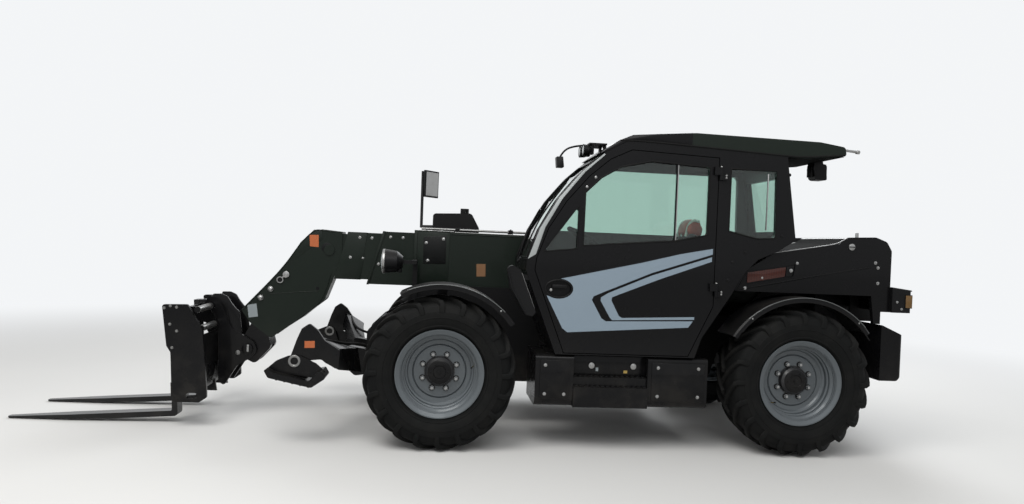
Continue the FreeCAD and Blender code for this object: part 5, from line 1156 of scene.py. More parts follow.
@dataclass
class Cab(Assembly):
    """Cab trim: roof skin and lining, seals, wiper, stripes, handle, hinge bolts and window divider."""

    skin: float = 1.070
    middle: float = 0.650
    pillar_face: float = 0.4190
    stripe_outer: tuple[Point, ...] = (
        (-0.87, 1.317), (-1.51, 1.466), (-1.82, 1.547), (-2.07, 1.597), (-2.07, 1.553), (-1.595, 1.392),
        (-1.205, 1.223), (-1.147, 1.195), (-1.135, 1.168), (-1.215, 1.03), (-1.25, 1.008), (-1.935, 1.03),
        (-1.90, 0.98), (-0.955, 0.915), (-0.915, 0.945), (-0.785, 1.19))
    stripe_inner: tuple[Point, ...] = (
        (-2.065, 1.532), (-1.595, 1.372), (-1.26, 1.225), (-1.205, 1.19), (-1.203, 1.165), (-1.28, 1.037),
        (-1.30, 1.018), (-1.945, 1.042), (-1.945, 1.063), (-1.375, 1.038), (-1.35, 1.052), (-1.288, 1.167),
        (-1.29, 1.193), (-1.335, 1.213), (-1.665, 1.348), (-2.065, 1.497))
    handle: Point = (-0.875, 1.245)
    windows: tuple[tuple[Point, ...], ...] = (
        ((-1.05, 1.58), (-1.05, 1.985), (-1.17, 2.105), (-1.32, 2.195), (-1.56, 2.25), (-2.02, 2.225), (-2.02, 1.70),
         (-1.77, 1.645)),
        ((-0.75, 1.525), (-1.005, 1.88), (-1.005, 1.552)))
    # The outline of the pale strip of painted highlight along each windscreen pillar's edge.
    pillar_painted_highlight: tuple[Point, ...] = (
        (-0.630, 1.462), (-0.714, 1.700), (-0.853, 1.943), (-1.022, 2.147), (-1.184, 2.290), (-1.193, 2.281),
        (-1.040, 2.140), (-0.876, 1.930), (-0.752, 1.705), (-0.690, 1.500))
    roof_front: tuple[Point, ...] = (
        (-1.163, 2.298), (-1.20, 2.327), (-1.289, 2.393), (-1.33, 2.412), (-1.40, 2.443), (-1.60, 2.461),
        (-1.87, 2.4838), (-1.87, 2.373), (-1.375, 2.398), (-1.19, 2.298))
    lining: tuple[Point, ...] = (
        (-2.655, 2.3385), (-2.76, 2.3352), (-2.81, 2.3362), (-3.105, 2.3668), (-3.105, 2.3635), (-2.81, 2.3330),
        (-2.76, 2.3320), (-2.655, 2.3353))
    door_gap: tuple[Point, ...] = (
        (-0.933, 0.80), (-0.687, 1.380), (-0.697, 1.472), (-0.779, 1.702), (-0.912, 1.917), (-1.078, 2.112),
        (-1.234, 2.248), (-1.400, 2.328), (-2.091, 2.303), (-2.091, 1.149), (-1.907, 0.80))
    quarter: tuple[Point, ...] = ((-2.19, 1.74), (-2.19, 2.225), (-2.56, 2.225), (-2.57, 1.70), (-2.42, 1.69))

    def handle_arc(self, first: float, last: float, steps: int = 14) -> list[Point]:
        """Points round the handle's recess between two angles in degrees."""
        turns = [math.radians(first + (last - first) * step / steps) for step in range(steps + 1)]
        return [(self.handle[0] + 0.113 * math.cos(turn), self.handle[1] + 0.077 * math.sin(turn)) for turn in turns]

    def make_stripes(self) -> None:
        """The two pale bands on the door, round the handle's recess."""
        film = Shaper("door_stripes", STRIPE)
        around = self.handle_arc(-50.0, -265.0)
        self.plate(film, [*self.stripe_outer, *around], self.skin - 0.0006, self.skin + 0.0008)
        self.plate(film, self.stripe_inner, self.skin - 0.0006, self.skin + 0.0008)
        film.done("door")

    def gasket(self, piece: Shaper, outline: Sequence[Point], y: float, radius: float) -> None:
        """Adds a rubber seal round a window's outline."""
        piece.pipe(self.line(y, outline), radius, False, True)

    def make_door(self) -> None:
        """Window seals, divider strip and handle of the door."""
        trim = Shaper("door_trim", RUBBER)
        for outline in self.windows:
            self.gasket(trim, outline, self.skin - 0.003, 0.0075)
        trim.use(BRIGHT_STEEL).box(self.at(-1.7735, 1.0645, 1.652), self.at(-1.7665, 1.0668, 2.243), 0.0)
        trim.use(BLACK_PLASTIC)
        handle = self.at(self.handle[0], self.skin - 0.012, self.handle[1])
        ring = [(self.handle[0] + 0.102 * math.cos(turn), self.handle[1] + 0.066 * math.sin(turn))
                for turn in (FULL_TURN * step / 32.0 for step in range(32))]
        self.gasket(trim, ring, self.skin, 0.005)
        trim.box(handle + Vector((-0.062, -0.006, 0.004)), handle + Vector((0.05, 0.014, 0.030)), 0.006)
        lock = handle + Vector((0.058, -0.01, -0.012))
        trim.use(BRIGHT_STEEL).rod(lock, handle + Vector((0.058, 0.006, -0.012)), 0.011, 24, 0.002)
        trim.done("door")

    def make_shell(self) -> None:
        """Roof skin, lining, drip rail, seals, roof rod, pale strips of painted highlight on the pillar edges, and
        wiper of the fixed cab.
        """
        roof = Shaper("roof_front_skin", BLACK_PAINT)
        self.plate(roof, self.roof_front, 0.2295, 1.0728, 0.0, 0.002)
        roof.use(RUBBER)
        roof.pipe(self.line(1.0735, ((-1.30, 2.395), (-1.375, 2.405), (-2.0, 2.378), (-2.64, 2.347),
                                                      (-2.78, 2.343), (-3.10, 2.377))), 0.006)
        self.plate(roof.use(DECK_COVER), self.lining, 0.236, 1.062)
        roof.done("chassis")
        shell = Shaper("cab_seals", RUBBER)
        self.gasket(shell, self.door_gap, 1.0125, 0.0105)
        self.gasket(shell, self.quarter, self.skin - 0.002, 0.0075)
        for y in (0.309, 0.993):
            shell.pipe(self.line(y, ((-0.628, 1.478), (-0.70, 1.672), (-0.713, 1.70), (-0.80, 1.86),
                                                      (-0.857, 1.95), (-1.02, 2.148), (-1.13, 2.243))), 0.007)
        shell.use(BRIGHT_STEEL).box(self.at(-2.50, 1.040, 1.76), self.at(-2.492, 1.0585, 2.20), 0.002)
        shell.rod(self.at(-3.08, 0.95, 2.442), self.at(-3.284, 0.95, 2.424), 0.011, 24, 0.002)
        shell.rod(self.at(-3.262, 0.95, 2.426), self.at(-3.292, 0.95, 2.4235), 0.016, 24, 0.003)
        for x, z in ((-1.124, 2.104), (-1.059, 2.029)):
            shell.bolt(self.at(x, self.skin, z), (0.0, 1.0, 0.0), 0.007)
        # Pale film strips along the pillars' edges: a painted highlight where the edges catch the light.
        for side in (1.0, -1.0):
            self.plate(shell.use(PILLAR_HIGHLIGHT), self.pillar_painted_highlight, self.middle + side * self.pillar_face,
                       self.middle + side * (self.pillar_face + 0.0022), 0.0, 0.0006)
        shell.done("chassis")
        wiper = Shaper("wiper", BLACK_PLASTIC)
        wiper.rod(self.at(-0.60, 0.80, 1.44), self.at(-0.585, 0.80, 1.45), 0.024, 24, 0.004)
        wiper.pipe(self.path((-0.585, 0.80, 1.452), (-0.61, 0.82, 1.55), (-0.66, 0.86, 1.72), (-0.73, 0.90, 1.85)),
                   0.0075)
        wiper.use(RUBBER).pipe(self.line(0.90, ((-0.625, 1.52), (-0.69, 1.70), (-0.79, 1.88), (-0.93, 2.07))), 0.006)
        wiper.done("chassis")

    def make_pillar_bolts(self) -> None:
        """Bolts on the cab's side and on its door hinges."""
        cover = Shaper("cab_bolts", BLACK_PLASTIC)
        for x, z in ((-2.20, 1.36), (-2.23, 1.50), (-2.33, 1.58), (-2.66, 2.20), (-2.62, 1.72)):
            cover.bolt(self.at(x, self.skin, z), (0.0, 1.0, 0.0), 0.009)
        for z in (1.248, 2.148):
            low, high = self.line(1.09, ((-2.102, z + 0.078), (-2.102, z + 0.088)))
            cover.use(BRIGHT_STEEL).rod(low, high, 0.010, 16, 0.002)
            for y_step in (0.012, 0.030):
                cover.bolt(self.at(-2.142, 1.098, z + y_step - 0.012), (0.0, 1.0, 0.0), 0.005)
        cover.done("chassis")

    def build(self) -> None:
        """Makes the cab's pieces."""
        self.make_stripes()
        self.make_door()
        self.make_shell()
        self.make_pillar_bolts()


@dataclass
class DriverSeat(Assembly):
    """Suspension seat in place of its plain node: cushion, back with bolsters, headrest, stand and armrest."""

    middle: float = 0.651
    floor: float = 0.79

    def pad(self, size: Sequence[float], centre: Vector, tilt: float, sharp: float = 3.2, hollow: float = 0.0
            ) -> bmesh.types.BMesh:
        """A crowned, closed cushion whose sides pull in towards its edges.

        Args:
            size: its length along X, its width and its thickness along Z before it is tilted.
            centre: its middle.
            tilt: its turn about the Y axis in radians.
            sharp: how square its outline is.
            hollow: how deep the middle of its upper face is pressed in.

        Returns:
            The cushion's shape.
        """
        shape = bmesh.new()
        bmesh.ops.create_cube(shape, size=2.0)
        bmesh.ops.subdivide_edges(shape, edges=shape.edges[:], cuts=11, use_grid_fill=True)
        half = Vector(size) / 2.0
        for vert in shape.verts:
            x, y, z = vert.co
            reach = (abs(x) ** (2 * sharp) + abs(y) ** (2 * sharp)) ** (1.0 / (2 * sharp))
            rounding = (abs(x) ** sharp + abs(y) ** sharp + abs(z) ** sharp) ** (1.0 / sharp)
            crown = 1.0 - 0.30 * reach ** 3
            press = hollow * max(0.0, 1.0 - reach ** 2) if z > 0.0 else 0.0
            spread = (1.0 + 0.06 * (1.0 - z * z)) / max(1.0, rounding) * 1.06
            vert.co = Vector((x * spread * half.x, y * spread * half.y,
                              z * half.z * crown / max(1.0, rounding * 0.92) - press))
        bmesh.ops.smooth_vert(shape, verts=shape.verts[:], factor=0.5, use_axis_x=True, use_axis_y=True,
                              use_axis_z=True)
        shape.transform(Matrix.Translation(centre) @ Matrix.Rotation(tilt, 4, "Y"))
        return shape

    def cushion(self, name: str, parts: Sequence[tuple[Any, ...]], finish: Finish,
                replaced: Sequence[str] = ()) -> None:
        """Makes one padded piece from several crowned pads.

        Args:
            name: the piece's name.
            parts: (size, x, y offset, z, tilt in degrees, hollow) of each pad.
            finish: its cloth.
            replaced: the nodes that it stands for.
        """
        piece = Shaper(name, finish)
        for size, x, y, z, tilt, hollow in parts:
            piece.take(self.pad(size, self.at(x, self.middle + y, z), math.radians(tilt), hollow=hollow), 180.0)
        piece.done("chassis", replaced)

    def build(self) -> None:
        """Makes the seat."""
        self.cushion("seat_cushion", (((0.44, 0.36, 0.115), -1.69, 0.0, 1.232, -2.0, 0.012),
                                      ((0.46, 0.085, 0.125), -1.69, 0.205, 1.240, -2.0, 0.0),
                                      ((0.46, 0.085, 0.125), -1.69, -0.205, 1.240, -2.0, 0.0)), SEAT_CLOTH, ["seat"])
        self.cushion("seat_back", (((0.11, 0.33, 0.50), -1.955, 0.0, 1.470, -9.0, 0.0),
                                   ((0.12, 0.09, 0.50), -1.945, 0.190, 1.465, -9.0, 0.0),
                                   ((0.12, 0.09, 0.50), -1.945, -0.190, 1.465, -9.0, 0.0)), SEAT_CLOTH)
        self.cushion("headrest", (((0.135, 0.27, 0.185), -2.020, 0.0, 1.742, -9.0, 0.0),), RED_VINYL)
        band = Shaper("headrest_band", WHITE_VINYL)
        for y in (-0.105, 0.0, 0.105):
            arc = [(-1.952, 1.690), (-1.962, 1.765), (-1.992, 1.815), (-2.028, 1.826), (-2.058, 1.812)]
            band.pipe(self.line(self.middle + y, arc), 0.012)
        band.done("chassis")
        stand = Shaper("seat_stand", BLACK_PLASTIC)
        for step in range(6):
            low = self.floor + 0.06 + 0.048 * step
            inset = 0.012 if step % 2 else 0.0
            stand.box(self.at(-1.85 + inset, self.middle - 0.17 + inset, low),
                      self.at(-1.57 - inset, self.middle + 0.17 - inset, low + 0.048), 0.010)
        stand.box(self.at(-1.88, self.middle - 0.20, self.floor),
                  self.at(-1.54, self.middle + 0.20, self.floor + 0.062), 0.008)
        stand.box(self.at(-1.90, self.middle - 0.21, 1.135), self.at(-1.49, self.middle + 0.21, 1.180), 0.012)
        stand.box(self.at(-2.03, self.middle - 0.16, 1.16), self.at(-1.98, self.middle + 0.16, 1.60), 0.015)
        stand.box(self.at(-1.93, self.middle - 0.285, 1.39), self.at(-1.62, self.middle - 0.235, 1.44), 0.018)
        stand.pipe(self.line(self.middle - 0.26, ((-1.66, 1.43), (-1.655, 1.49), (-1.63, 1.56))), 0.011)
        stand.ball(self.at(-1.628, self.middle - 0.26, 1.572), (0.020, 0.020, 0.028), 12)
        stand.done("chassis")


@dataclass
class SideBoxes(Assembly):
    """Left sill with its steps, and the right side's tank, hood louvres and latches."""

    sill_bolts: tuple[Point, ...] = (
        (-0.80, 0.66), (-0.95, 0.44), (-0.80, 0.44), (-1.68, 0.66), (-2.0, 0.66), (-2.0, 0.44), (-1.68, 0.44))
    straps: tuple[float, float, float] = (-0.98, -1.40, -1.82)

    def make_left(self) -> None:
        """Step treads, round bolts and blank plates on the left sill."""
        sill = Shaper("sill_fittings", BLACK_PAINT)
        for z, y in ((0.502, 1.058), (0.572, 1.008)):
            for step in range(14):
                x = -1.585 + 0.041 * step
                sill.box(self.at(x, y - 0.022, z - 0.001), self.at(x + 0.022, y + 0.014, z + 0.006), 0.002)
        sill.box(self.at(-1.60, 0.985, 0.584), self.at(-1.02, 0.992, 0.73), 0.003)
        for x_low, x_high in ((-0.99, -0.76), (-2.05, -1.63)):
            sill.box(self.at(x_low, 1.056, 0.40), self.at(x_high, 1.066, 0.70), 0.006)
        sill.use(BRIGHT_STEEL)
        for x, z in ((-1.17, 0.655), (-1.5, 0.655)):
            sill.rod(self.at(x, 0.990, z), self.at(x, 1.004, z), 0.024, 32, 0.005)
            sill.rod(self.at(x, 1.004, z), self.at(x, 1.008, z), 0.010, 20, 0.001)
        for x, z in self.sill_bolts:
            sill.bolt(self.at(x, 1.066, z), (0.0, 1.0, 0.0), 0.009)
        sill.use(LABEL_GREY).box(self.at(-1.225, 0.991, 0.612), self.at(-1.205, 0.9945, 0.640), 0.0)
        sill.use(BRASS).box(self.at(-1.455, 0.991, 0.600), self.at(-1.425, 0.9945, 0.622), 0.0)
        sill.done("chassis")

    def make_right(self) -> None:
        """Tank straps and cap, and the hood's louvres and latches."""
        tank = Shaper("tank_fittings", BARE_STEEL)
        for x in self.straps:
            strap = self.path((x, -0.66, 0.344), (x, -1.02, 0.344), (x, -1.0725, 0.40), (x, -1.0725, 0.62))
            tank.pipe(strap, 0.006, False)
        tank.use(BLACK_PLASTIC).rod(self.at(-0.88, -1.065, 0.585), self.at(-0.88, -1.083, 0.60), 0.050, 40, 0.004)
        tank.rod(self.at(-0.88, -1.082, 0.599), self.at(-0.88, -1.090, 0.606), 0.038, 24, 0.004)
        for step in range(9):
            tank.use(FRAME_PAINT).box(self.at(-2.0 + 0.03 * step, -1.076, 0.42),
                                      self.at(-1.985 + 0.03 * step, -1.068, 0.60), 0.003)
        tank.done("chassis")
        hood = Shaper("hood_louvres", BLACK_PAINT)
        for bank in (-2.020, -1.610, -1.200):
            for step in range(7):
                z = 1.000 + 0.052 * step
                outline = [(-1.0775, z + 0.016), (-1.0775, z + 0.003), (-1.0880, z - 0.007), (-1.0905, z - 0.002)]
                start = bank + self.datum.front_axle
                hood.slab(outline, Plane.ACROSS_X, start + 0.004, start + 0.286, 0.0, 0.001)
        for x in (-2.0, -1.0):
            hood.use(BLACK_PLASTIC).box(self.at(x - 0.055, -1.096, 0.925), self.at(x + 0.055, -1.0845, 0.960), 0.004)
            hood.use(BRIGHT_STEEL).rod(self.at(x, -1.094, 0.943), self.at(x, -1.100, 0.943), 0.012, 24, 0.002)
        hood.use(BLACK_PAINT)
        for step in range(12):
            x = -1.95 + 0.085 * step
            hood.box(self.at(x, -0.80, 1.583), self.at(x + 0.045, -0.42, 1.600), 0.004)
        hood.done("hood")

    def build(self) -> None:
        """Makes both sides."""
        self.make_left()
        self.make_right()


@dataclass
class Rear(Assembly):
    """Rear panels' trim, markers, deck covers, grilles and bolts, lamps, and the counterweight's fittings."""

    skin: float = 1.000
    marker: tuple[Point, ...] = ((-2.386, 1.342), (-2.694, 1.402), (-2.700, 1.478), (-2.387, 1.424))
    bolts: tuple[Point, ...] = ((-2.370, 1.300), (-3.444, 1.541), (-3.467, 1.502), (-3.470, 1.378), (-3.260, 1.093))
    ridge: tuple[Point, ...] = ((-2.57, 1.59), (-2.42, 1.53), (-2.37, 1.44), (-2.33, 1.36), (-2.29, 1.28))
    marker_foot: tuple[Point, ...] = ((-2.700, 1.402), (-2.752, 1.411), (-2.767, 1.491), (-2.706, 1.480))
    crease: tuple[Point, ...] = ((-2.30, 1.285), (-2.65, 1.355), (-3.0, 1.43), (-3.40, 1.505))
    # The line of the painted highlight along the deck's top edge.
    edge: tuple[Point, ...] = ((-2.615, 1.588), (-2.80, 1.620), (-3.00, 1.655), (-3.13, 1.680), (-3.20, 1.728))
    slats: int = 7
    lenses: tuple[tuple[float, float, Finish], ...] = (
        (0.818, 0.886, RED_LENS), (0.889, 0.960, CLEAR_LENS), (0.963, 1.034, ORANGE_LENS))
    lamp_cover: tuple[Point, ...] = ((-3.582, 1.3495), (-3.582, 1.3525), (-3.740, 1.3335), (-3.740, 1.3300))
    deck: tuple[Point, ...] = (
        (-2.618, 1.586), (-2.80, 1.620), (-3.00, 1.655), (-3.13, 1.680), (-3.196, 1.724), (-3.196, 1.728),
        (-3.13, 1.685), (-3.00, 1.660), (-2.80, 1.625), (-2.618, 1.591))
    inner_plate: tuple[Point, ...] = (
        (-3.70, 1.040), (-3.25, 1.040), (-3.25, 1.290), (-3.57, 1.290), (-3.57, 1.270), (-3.70, 1.120))
    outer_plate: tuple[Point, ...] = (
        (-3.68, 1.040), (-3.46, 1.040), (-3.46, 1.285), (-3.565, 1.285), (-3.565, 1.260), (-3.68, 1.100))

    def make_panels(self) -> None:
        """Ridge, crease, marker, bolts, a bright steel line of painted highlight along the deck's top edge, deck
        cover, inner plates and grille slats of both panels.
        """
        panel = Shaper("rear_panel_trim", BLACK_PAINT)
        for side in (1.0, -1.0):
            y = side * self.skin
            panel.use(BLACK_PAINT).pipe(self.line(y, self.ridge), 0.011)
            panel.pipe(self.line(y, self.crease), 0.006)
            panel.use(MARKER_LENS)
            self.plate(panel, self.marker, y - side * 0.0105, y - side * 0.0025, 0.008, 0.002)
            panel.use(BLACK_PLASTIC)
            self.plate(panel, self.marker_foot, y - side * 0.0105, y - side * 0.001, 0.008, 0.002)
            panel.use(BRIGHT_STEEL)
            for x, z, size in ((-2.742, 1.452, 0.010), (-2.790, 1.513, 0.008), (-2.507, 1.386, 0.006)):
                depth = 0.001 if x > -2.77 else 0.0
                panel.bolt(self.at(x, y - side * depth, z), (0.0, side, 0.0), size)
            for x, z in self.bolts:
                panel.bolt(self.at(x, y, z), (0.0, side, 0.0), 0.009)
            latch = self.at(-3.235, y, 1.660)
            panel.rod(latch, latch + Vector((0.0, side * 0.012, 0.0)), 0.027, 32, 0.003)
            panel.use(BLACK_PLASTIC).box(latch + Vector((-0.024, min(side * 0.011, side * 0.0145), -0.004)),
                                         latch + Vector((0.024, max(side * 0.011, side * 0.0145), 0.004)), 0.001)
            catch = y - side * 0.012
            panel.use(BRIGHT_STEEL).box(self.at(-3.296, catch - 0.006, 1.70), self.at(-3.270, catch + 0.006, 1.775),
                                        0.003)
            # A bright steel line along the deck's top edge: a painted highlight where the edge catches the light.
            panel.pipe([self.at(x, y - side * 0.006, z + 0.002) for x, z in self.edge], 0.0045)
            self.plate(panel.use(FRAME_PAINT), self.inner_plate, side * 0.40, side * 0.42, 0.0, 0.002)
            self.plate(panel, self.outer_plate, side * 0.60, side * 0.62, 0.0, 0.002)
            self.plate(panel.use(DECK_COVER), self.deck, side * 0.227, side * 0.986)
            panel.use(BLACK_PAINT)
            for step in range(self.slats):
                z = 1.350 + 0.034 * step
                slat = [(-3.5685, z + 0.012), (-3.5685, z + 0.002), (-3.5800, z - 0.005), (-3.5815, z - 0.001)]
                self.plate(panel, slat, side * 0.323, side * 0.857, 0.0, 0.001)
        panel.use(FRAME_PAINT).box(self.at(-3.600, -0.41, 1.040), self.at(-3.585, 0.41, 1.290), 0.002)
        panel.done("chassis")

    def make_lamps(self) -> None:
        """Lenses of the rear lamps with their guards."""
        lamps = Shaper("rear_lamp_lenses", BLACK_PLASTIC)
        for side in (1.0, -1.0):
            for inner, outer, lens in self.lenses:
                low, high = sorted((side * inner, side * outer))
                lamps.use(lens).box(self.at(-3.7492, low, 1.192), self.at(-3.7455, high, 1.291), 0.001)
            low, high = sorted((side * 1.0395, side * 1.0435))
            lamps.use(ORANGE_LENS).box(self.at(-3.7435, low, 1.192), self.at(-3.690, high, 1.291), 0.001)
            self.plate(lamps.use(BARE_STEEL), self.lamp_cover, side * 0.794, side * 1.034)
            lamps.use(BRIGHT_STEEL)
            for x, z in ((-3.62, 1.235), (-3.66, 1.180)):
                lamps.bolt(self.at(x, side * 1.036, z), (0.0, side, 0.0), 0.007)
        lamps.done("chassis")

    def make_weight(self) -> None:
        """Flush bolts and the tow pin of the counterweight."""
        weight = Shaper("weight_fittings", BLACK_PAINT)
        for side in (1.0, -1.0):
            for z in (0.80, 0.90):
                weight.rod(self.at(-3.740, side * 0.30, z), self.at(-3.7505, side * 0.30, z), 0.024, 28, 0.001)
                weight.rod(self.at(-3.740, side * 0.30, z), self.at(-3.7515, side * 0.30, z), 0.015, 6, 0.0005)
        weight.use(BARE_STEEL).rod(self.at(-3.69, 0.0, 0.60), self.at(-3.69, 0.0, 0.79), 0.0165, 28, 0.003)
        weight.rod(self.at(-3.69, 0.0, 0.764), self.at(-3.69, 0.0, 0.778), 0.026, 28, 0.003)
        weight.pipe(self.path((-3.69, -0.05, 0.80), (-3.69, -0.045, 0.83), (-3.69, 0.045, 0.83), (-3.69, 0.05, 0.80),
                              (-3.69, 0.0, 0.785), (-3.69, -0.05, 0.80)), 0.0055)
        weight.done("chassis")

    def build(self) -> None:
        """Makes the rear's pieces."""
        self.make_panels()
        self.make_lamps()
        self.make_weight()


@dataclass
class Stabilizer(Assembly):
    """One stabilizer: pin, hose and blank label on the leg, and pin rings and treads on the pad."""

    place: str
    label: tuple[Point, ...] = ((0.939, 0.726), (1.014, 0.723), (1.016, 0.775), (0.941, 0.778))

    def build(self) -> None:
        """Makes one side's pieces."""
        side = 1.0 if self.place == "left" else -1.0
        out = Vector((0.0, side, 0.0))
        leg = Shaper("stabilizer_fittings_" + self.place, BARE_STEEL)
        leg.rod(self.at(0.40, side * 0.330, 0.50), self.at(0.40, side * 0.340, 0.50), 0.040, 28, 0.003)
        leg.use(BLACK_PAINT).bolt(self.at(0.40, side * 0.340, 0.50), out, 0.012)
        leg.use(LABEL_ORANGE)
        self.plate(leg, self.label, side * 0.9695, side * 0.9708)
        leg.use(RUBBER).pipe(self.path((0.46, side * 0.30, 0.60), (0.60, side * 0.33, 0.68),
                                       (0.76, side * 0.50, 0.70), (0.84, side * 0.72, 0.745),
                                       (0.87, side * 0.90, 0.775)), 0.011)
        leg.done("leg_" + self.place)
        pad = Shaper("stabilizer_pad_details_" + self.place, BARE_STEEL)
        hoop = [(0.0, 0.0285), (0.0, 0.045), (0.0035, 0.0455), (0.0055, 0.043), (0.0055, 0.0300), (0.0035, 0.0275)]
        for reach, turned in ((0.9895, 1.0), (0.9205, -1.0)):
            pad.spun(hoop, self.at(1.082, side * reach, 0.625), out * turned, 40)
        pad.use(BLACK_PAINT)
        for step in range(5):
            x = 0.955 + 0.058 * step
            z = 0.4425 + 0.2127 * (x - 0.94)
            low, high = side * 0.955 - 0.112, side * 0.955 + 0.112
            pad.box(self.at(x, low, z - 0.004), self.at(x + 0.014, high, z + 0.004), 0.002)
        pad.done("pad_" + self.place)


@dataclass
class Lamps(Assembly):
    """Headlamps, work lamps and mirrors."""

    hanger: tuple[Point, ...] = ((-1.125, 2.398), (-1.02, 2.388), (-0.93, 2.345), (-0.905, 2.288))
    hanging_lamp: tuple[Point, ...] = ((-0.936, 2.205), (-0.880, 2.205), (-0.872, 2.290), (-0.925, 2.292))
    left_glass: tuple[Point, ...] = ((-0.585, 1.352), (-0.690, 1.092), (-0.694, 1.094), (-0.589, 1.354))

    def make_headlamps(self) -> None:
        """Lens and bright ring of both headlamps, and a short black post behind each."""
        lamps = Shaper("headlamp_lenses", CLEAR_LENS)
        for side in (1.0, -1.0):
            centre = self.at(0.476, side * 0.600, 1.388)
            lens = [(0.0, 0.088), (0.012, 0.080), (0.019, 0.060), (0.023, 0.030), (0.024, 0.0004), (0.0, 0.0004)]
            lamps.use(CLEAR_LENS).spun(lens, centre, (1.0, 0.0, 0.0), 40, degrees=60.0)
            ring = [(-0.008, 0.098), (0.006, 0.0985), (0.011, 0.094), (0.008, 0.086), (-0.004, 0.087)]
            lamps.use(BRIGHT_STEEL).spun(ring, centre, (1.0, 0.0, 0.0), 48)
            low, high = self.line(side * 0.60, ((0.35, 1.30), (0.35, 1.335)))
            lamps.use(BLACK_PLASTIC).rod(low, high, 0.020, 24, 0.003)
        lamps.done("chassis")

    def make_work_lamps(self) -> None:
        """Lenses and rings of the round front lamps, the lens of the rear lamp, and the lamp that hangs ahead."""
        lamps = Shaper("work_lamps", BLACK_PLASTIC)
        for y in (0.585, 0.735):
            centre = self.at(-1.080, y, 2.350)
            lens = [(-0.004, 0.038), (0.001, 0.036), (0.005, 0.024), (0.006, 0.0004), (-0.004, 0.0004)]
            lamps.use(CLEAR_LENS).spun(lens, centre, (1.0, 0.0, 0.0), 36, degrees=60.0)
            ring = [(-0.006, 0.0462), (0.001, 0.0470), (0.004, 0.044), (0.001, 0.037), (-0.006, 0.038)]
            lamps.use(BLACK_PLASTIC).spun(ring, centre, (1.0, 0.0, 0.0), 40)
            for step in range(5):
                spot = self.at(-1.150, y + 0.014 * (step - 2), 2.350)
                lamps.box(spot - Vector((0.012, 0.0018, 0.034)), spot + Vector((0.024, 0.0018, 0.034)), 0.0008)
        lamps.use(CLEAR_LENS).box(self.at(-3.1535, 0.612, 2.222), self.at(-3.1495, 0.708, 2.330), 0.002)
        lamps.use(BLACK_PLASTIC)
        for step in range(5):
            y = 0.624 + 0.018 * step
            lamps.box(self.at(-3.040, y, 2.235), self.at(-3.020, y + 0.004, 2.330), 0.001)
        lamps.use(FRAME_PAINT).pipe(self.line(0.66, self.hanger), 0.008)
        self.plate(lamps.use(BLACK_PLASTIC), self.hanging_lamp, 0.615, 0.705, 0.006, 0.002)
        lamps.done("chassis")

    def make_mirrors(self) -> None:
        """Glossy cover of the left mirror and the glass of both mirrors."""
        cover = Shaper("left_mirror_cover", BLACK_PLASTIC)
        cover.pipe(self.line(1.1005, ((-0.485, 1.36), (-0.50, 1.27), (-0.555, 1.17), (-0.62, 1.06))), 0.009)
        cover.use(BRIGHT_STEEL)
        self.plate(cover, self.left_glass, 1.030, 1.090)
        cover.done("chassis")
        right = Shaper("right_mirror_glass", BRIGHT_STEEL)
        glass = [(0.186, -0.6775), (0.0735, -0.8310), (0.0711, -0.8292), (0.1836, -0.6757)]
        right.slab([(x + self.datum.front_axle, y) for x, y in glass], Plane.ACROSS_Z, 2.005, 2.235)
        right.done("chassis")

    def build(self) -> None:
        """Makes the lamps and mirrors."""
        self.make_headlamps()
        self.make_work_lamps()
        self.make_mirrors()


@dataclass
class PhotoCamera(Assembly):
    """The camera, fitted to the wheels of the photograph."""

    place: Spot = (0.065, 6.85, 1.572)
    yaw: float = 5.65
    pitch: float = 0.63
    roll: float = 2.46
    lens: float = 27.04

    def build(self) -> None:
        """Makes the camera and gives it to the scene."""
        yaw, pitch, roll = (math.radians(angle) for angle in (self.yaw, self.pitch, self.roll))
        ahead = Vector((-math.sin(yaw) * math.cos(pitch), -math.cos(yaw) * math.cos(pitch), -math.sin(pitch)))
        right = Vector((-math.cos(yaw), math.sin(yaw), 0.0))
        above = right.cross(ahead)
        across = right * math.cos(roll) + above * math.sin(roll)
        upright = above * math.cos(roll) - right * math.sin(roll)
        matrix = Matrix((across, upright, -ahead)).transposed().to_4x4()
        matrix.translation = self.at(*self.place)
        data = bpy.data.cameras.new("photo_camera")
        data.lens = self.lens
        data.sensor_width = 36.0
        camera = bpy.data.objects.new("photo_camera", data)
        bpy.context.scene.collection.objects.link(camera)
        camera.matrix_world = matrix
        bpy.context.scene.camera = camera


@dataclass(frozen=True)
class AreaLight:
    """One soft light: its place, the point it shines at, its power, its size and its colour."""

    name: str
    place: Spot
    aim: Spot
    power: float
    size: float
    colour: Colour = (1.0, 1.0, 1.0)

    def build(self) -> None:
        """Makes the light."""
        data = bpy.data.lights.new(self.name, "AREA")
        data.shape = "SQUARE"
        data.size = self.size
        data.energy = self.power
        data.color = self.colour
        light = bpy.data.objects.new(self.name, data)
        bpy.context.scene.collection.objects.link(light)
        turn = (Vector(self.aim) - Vector(self.place)).to_track_quat("-Z", "Y")
        light.matrix_world = Matrix.Translation(self.place) @ turn.to_matrix().to_4x4()


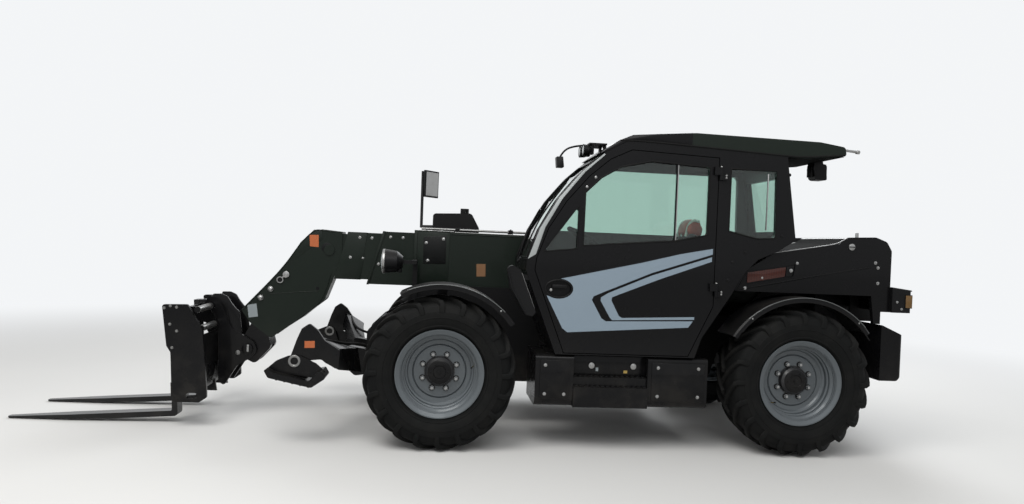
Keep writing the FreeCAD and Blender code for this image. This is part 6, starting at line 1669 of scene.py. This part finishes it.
@dataclass
class Studio:
    """Pale floor, pale surroundings and soft lights."""

    floor_colour: Colour = (0.62, 0.62, 0.61)
    pale: Colour = PALE_SKY
    lights: tuple[AreaLight, ...] = (
        AreaLight("high_key", (3.0, 5.0, 8.0), (0.0, 0.0, 0.8), 520.0, 5.0, (1.0, 0.985, 0.96)),
        AreaLight("rear_sky", (-4.0, -6.0, 7.0), (-0.5, 0.0, 1.0), 620.0, 6.0, (0.96, 0.98, 1.0)),
        AreaLight("side_fill", (-1.0, 7.5, 6.5), (-0.6, 0.0, 0.9), 220.0, 4.0),
    )

    def make_floor(self) -> None:
        """A large pale floor."""
        made = Nodes("studio_floor")
        cloud = made.noise(0.7, 3.0)
        shade = made.mix(cloud, self.floor_colour, tuple(0.96 * part for part in self.floor_colour))
        x, y, _ = made.axes(made.place())
        far = ((x * x + y * y) ** 0.5).between(4.6, 12.0)
        seen = made.node("ShaderNodeLightPath", output="Is Camera Ray")
        lit = made.node("ShaderNodeBsdfPrincipled", inputs={"Base Color": shade, "Roughness": 0.75})
        pale = made.node("ShaderNodeEmission", inputs={"Color": self.pale, "Strength": 1.0})
        faded = made.node("ShaderNodeMixShader", inputs={0: far * seen, 1: lit, 2: pale})
        made.tree.links.new(faded.socket, made.tree.nodes.new("ShaderNodeOutputMaterial").inputs["Surface"])
        material = made.material
        shape = bmesh.new()
        bmesh.ops.create_grid(shape, x_segments=2, y_segments=2, size=60.0)
        data = bpy.data.meshes.new("studio_floor")
        shape.to_mesh(data)
        shape.free()
        data.materials.append(material)
        floor = bpy.data.objects.new("studio_floor", data)
        bpy.context.scene.collection.objects.link(floor)

    def make_world(self) -> None:
        """Plain light all round, and a pale sky where the camera, gloss or glass sees it."""
        world = bpy.data.worlds.new("studio_world")
        world.use_nodes = True
        tree = world.node_tree
        tree.nodes.clear()
        path = tree.nodes.new("ShaderNodeLightPath")
        seen = tree.nodes.new("ShaderNodeMath")
        seen.operation = "MAXIMUM"
        through = tree.nodes.new("ShaderNodeMath")
        through.operation = "MAXIMUM"
        tree.links.new(path.outputs["Is Camera Ray"], seen.inputs[0])
        tree.links.new(path.outputs["Is Transmission Ray"], seen.inputs[1])
        tree.links.new(seen.outputs[0], through.inputs[0])
        tree.links.new(path.outputs["Is Glossy Ray"], through.inputs[1])
        plain = tree.nodes.new("ShaderNodeBackground")
        plain.inputs["Color"].default_value = (1.0, 1.0, 1.0, 1.0)
        plain.inputs["Strength"].default_value = 0.55
        pale = tree.nodes.new("ShaderNodeBackground")
        pale.inputs["Color"].default_value = (*self.pale, 1.0)
        pale.inputs["Strength"].default_value = 1.0
        mixed = tree.nodes.new("ShaderNodeMixShader")
        tree.links.new(through.outputs[0], mixed.inputs[0])
        tree.links.new(plain.outputs[0], mixed.inputs[1])
        tree.links.new(pale.outputs[0], mixed.inputs[2])
        output = tree.nodes.new("ShaderNodeOutputWorld")
        tree.links.new(mixed.outputs[0], output.inputs["Surface"])
        bpy.context.scene.world = world

    def build(self) -> None:
        """Makes the studio."""
        self.make_floor()
        self.make_world()
        for light in self.lights:
            light.build()
        bpy.context.scene.view_settings.view_transform = "Standard"


def main() -> None:
    """Builds the machine's looks, sub-assembly by sub-assembly."""
    logging.basicConfig(level=logging.INFO, format="%(message)s")
    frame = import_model()
    datum = Datum.from_frame()
    PhotoCamera(datum).build()
    Studio().build()
    Frame(frame["nodes"]).dress()
    for place in ("front_left", "front_right", "rear_left", "rear_right"):
        Wheel(datum, place).build()
    for place in ("left", "right"):
        Stabilizer(datum, place).build()
    for kind in (Boom, Head, ToolEnd, Cab, DriverSeat, SideBoxes, Rear, Lamps):
        kind(datum).build()
        LOG.info("%s done", kind.__name__)


if __name__ == "__main__":
    main()
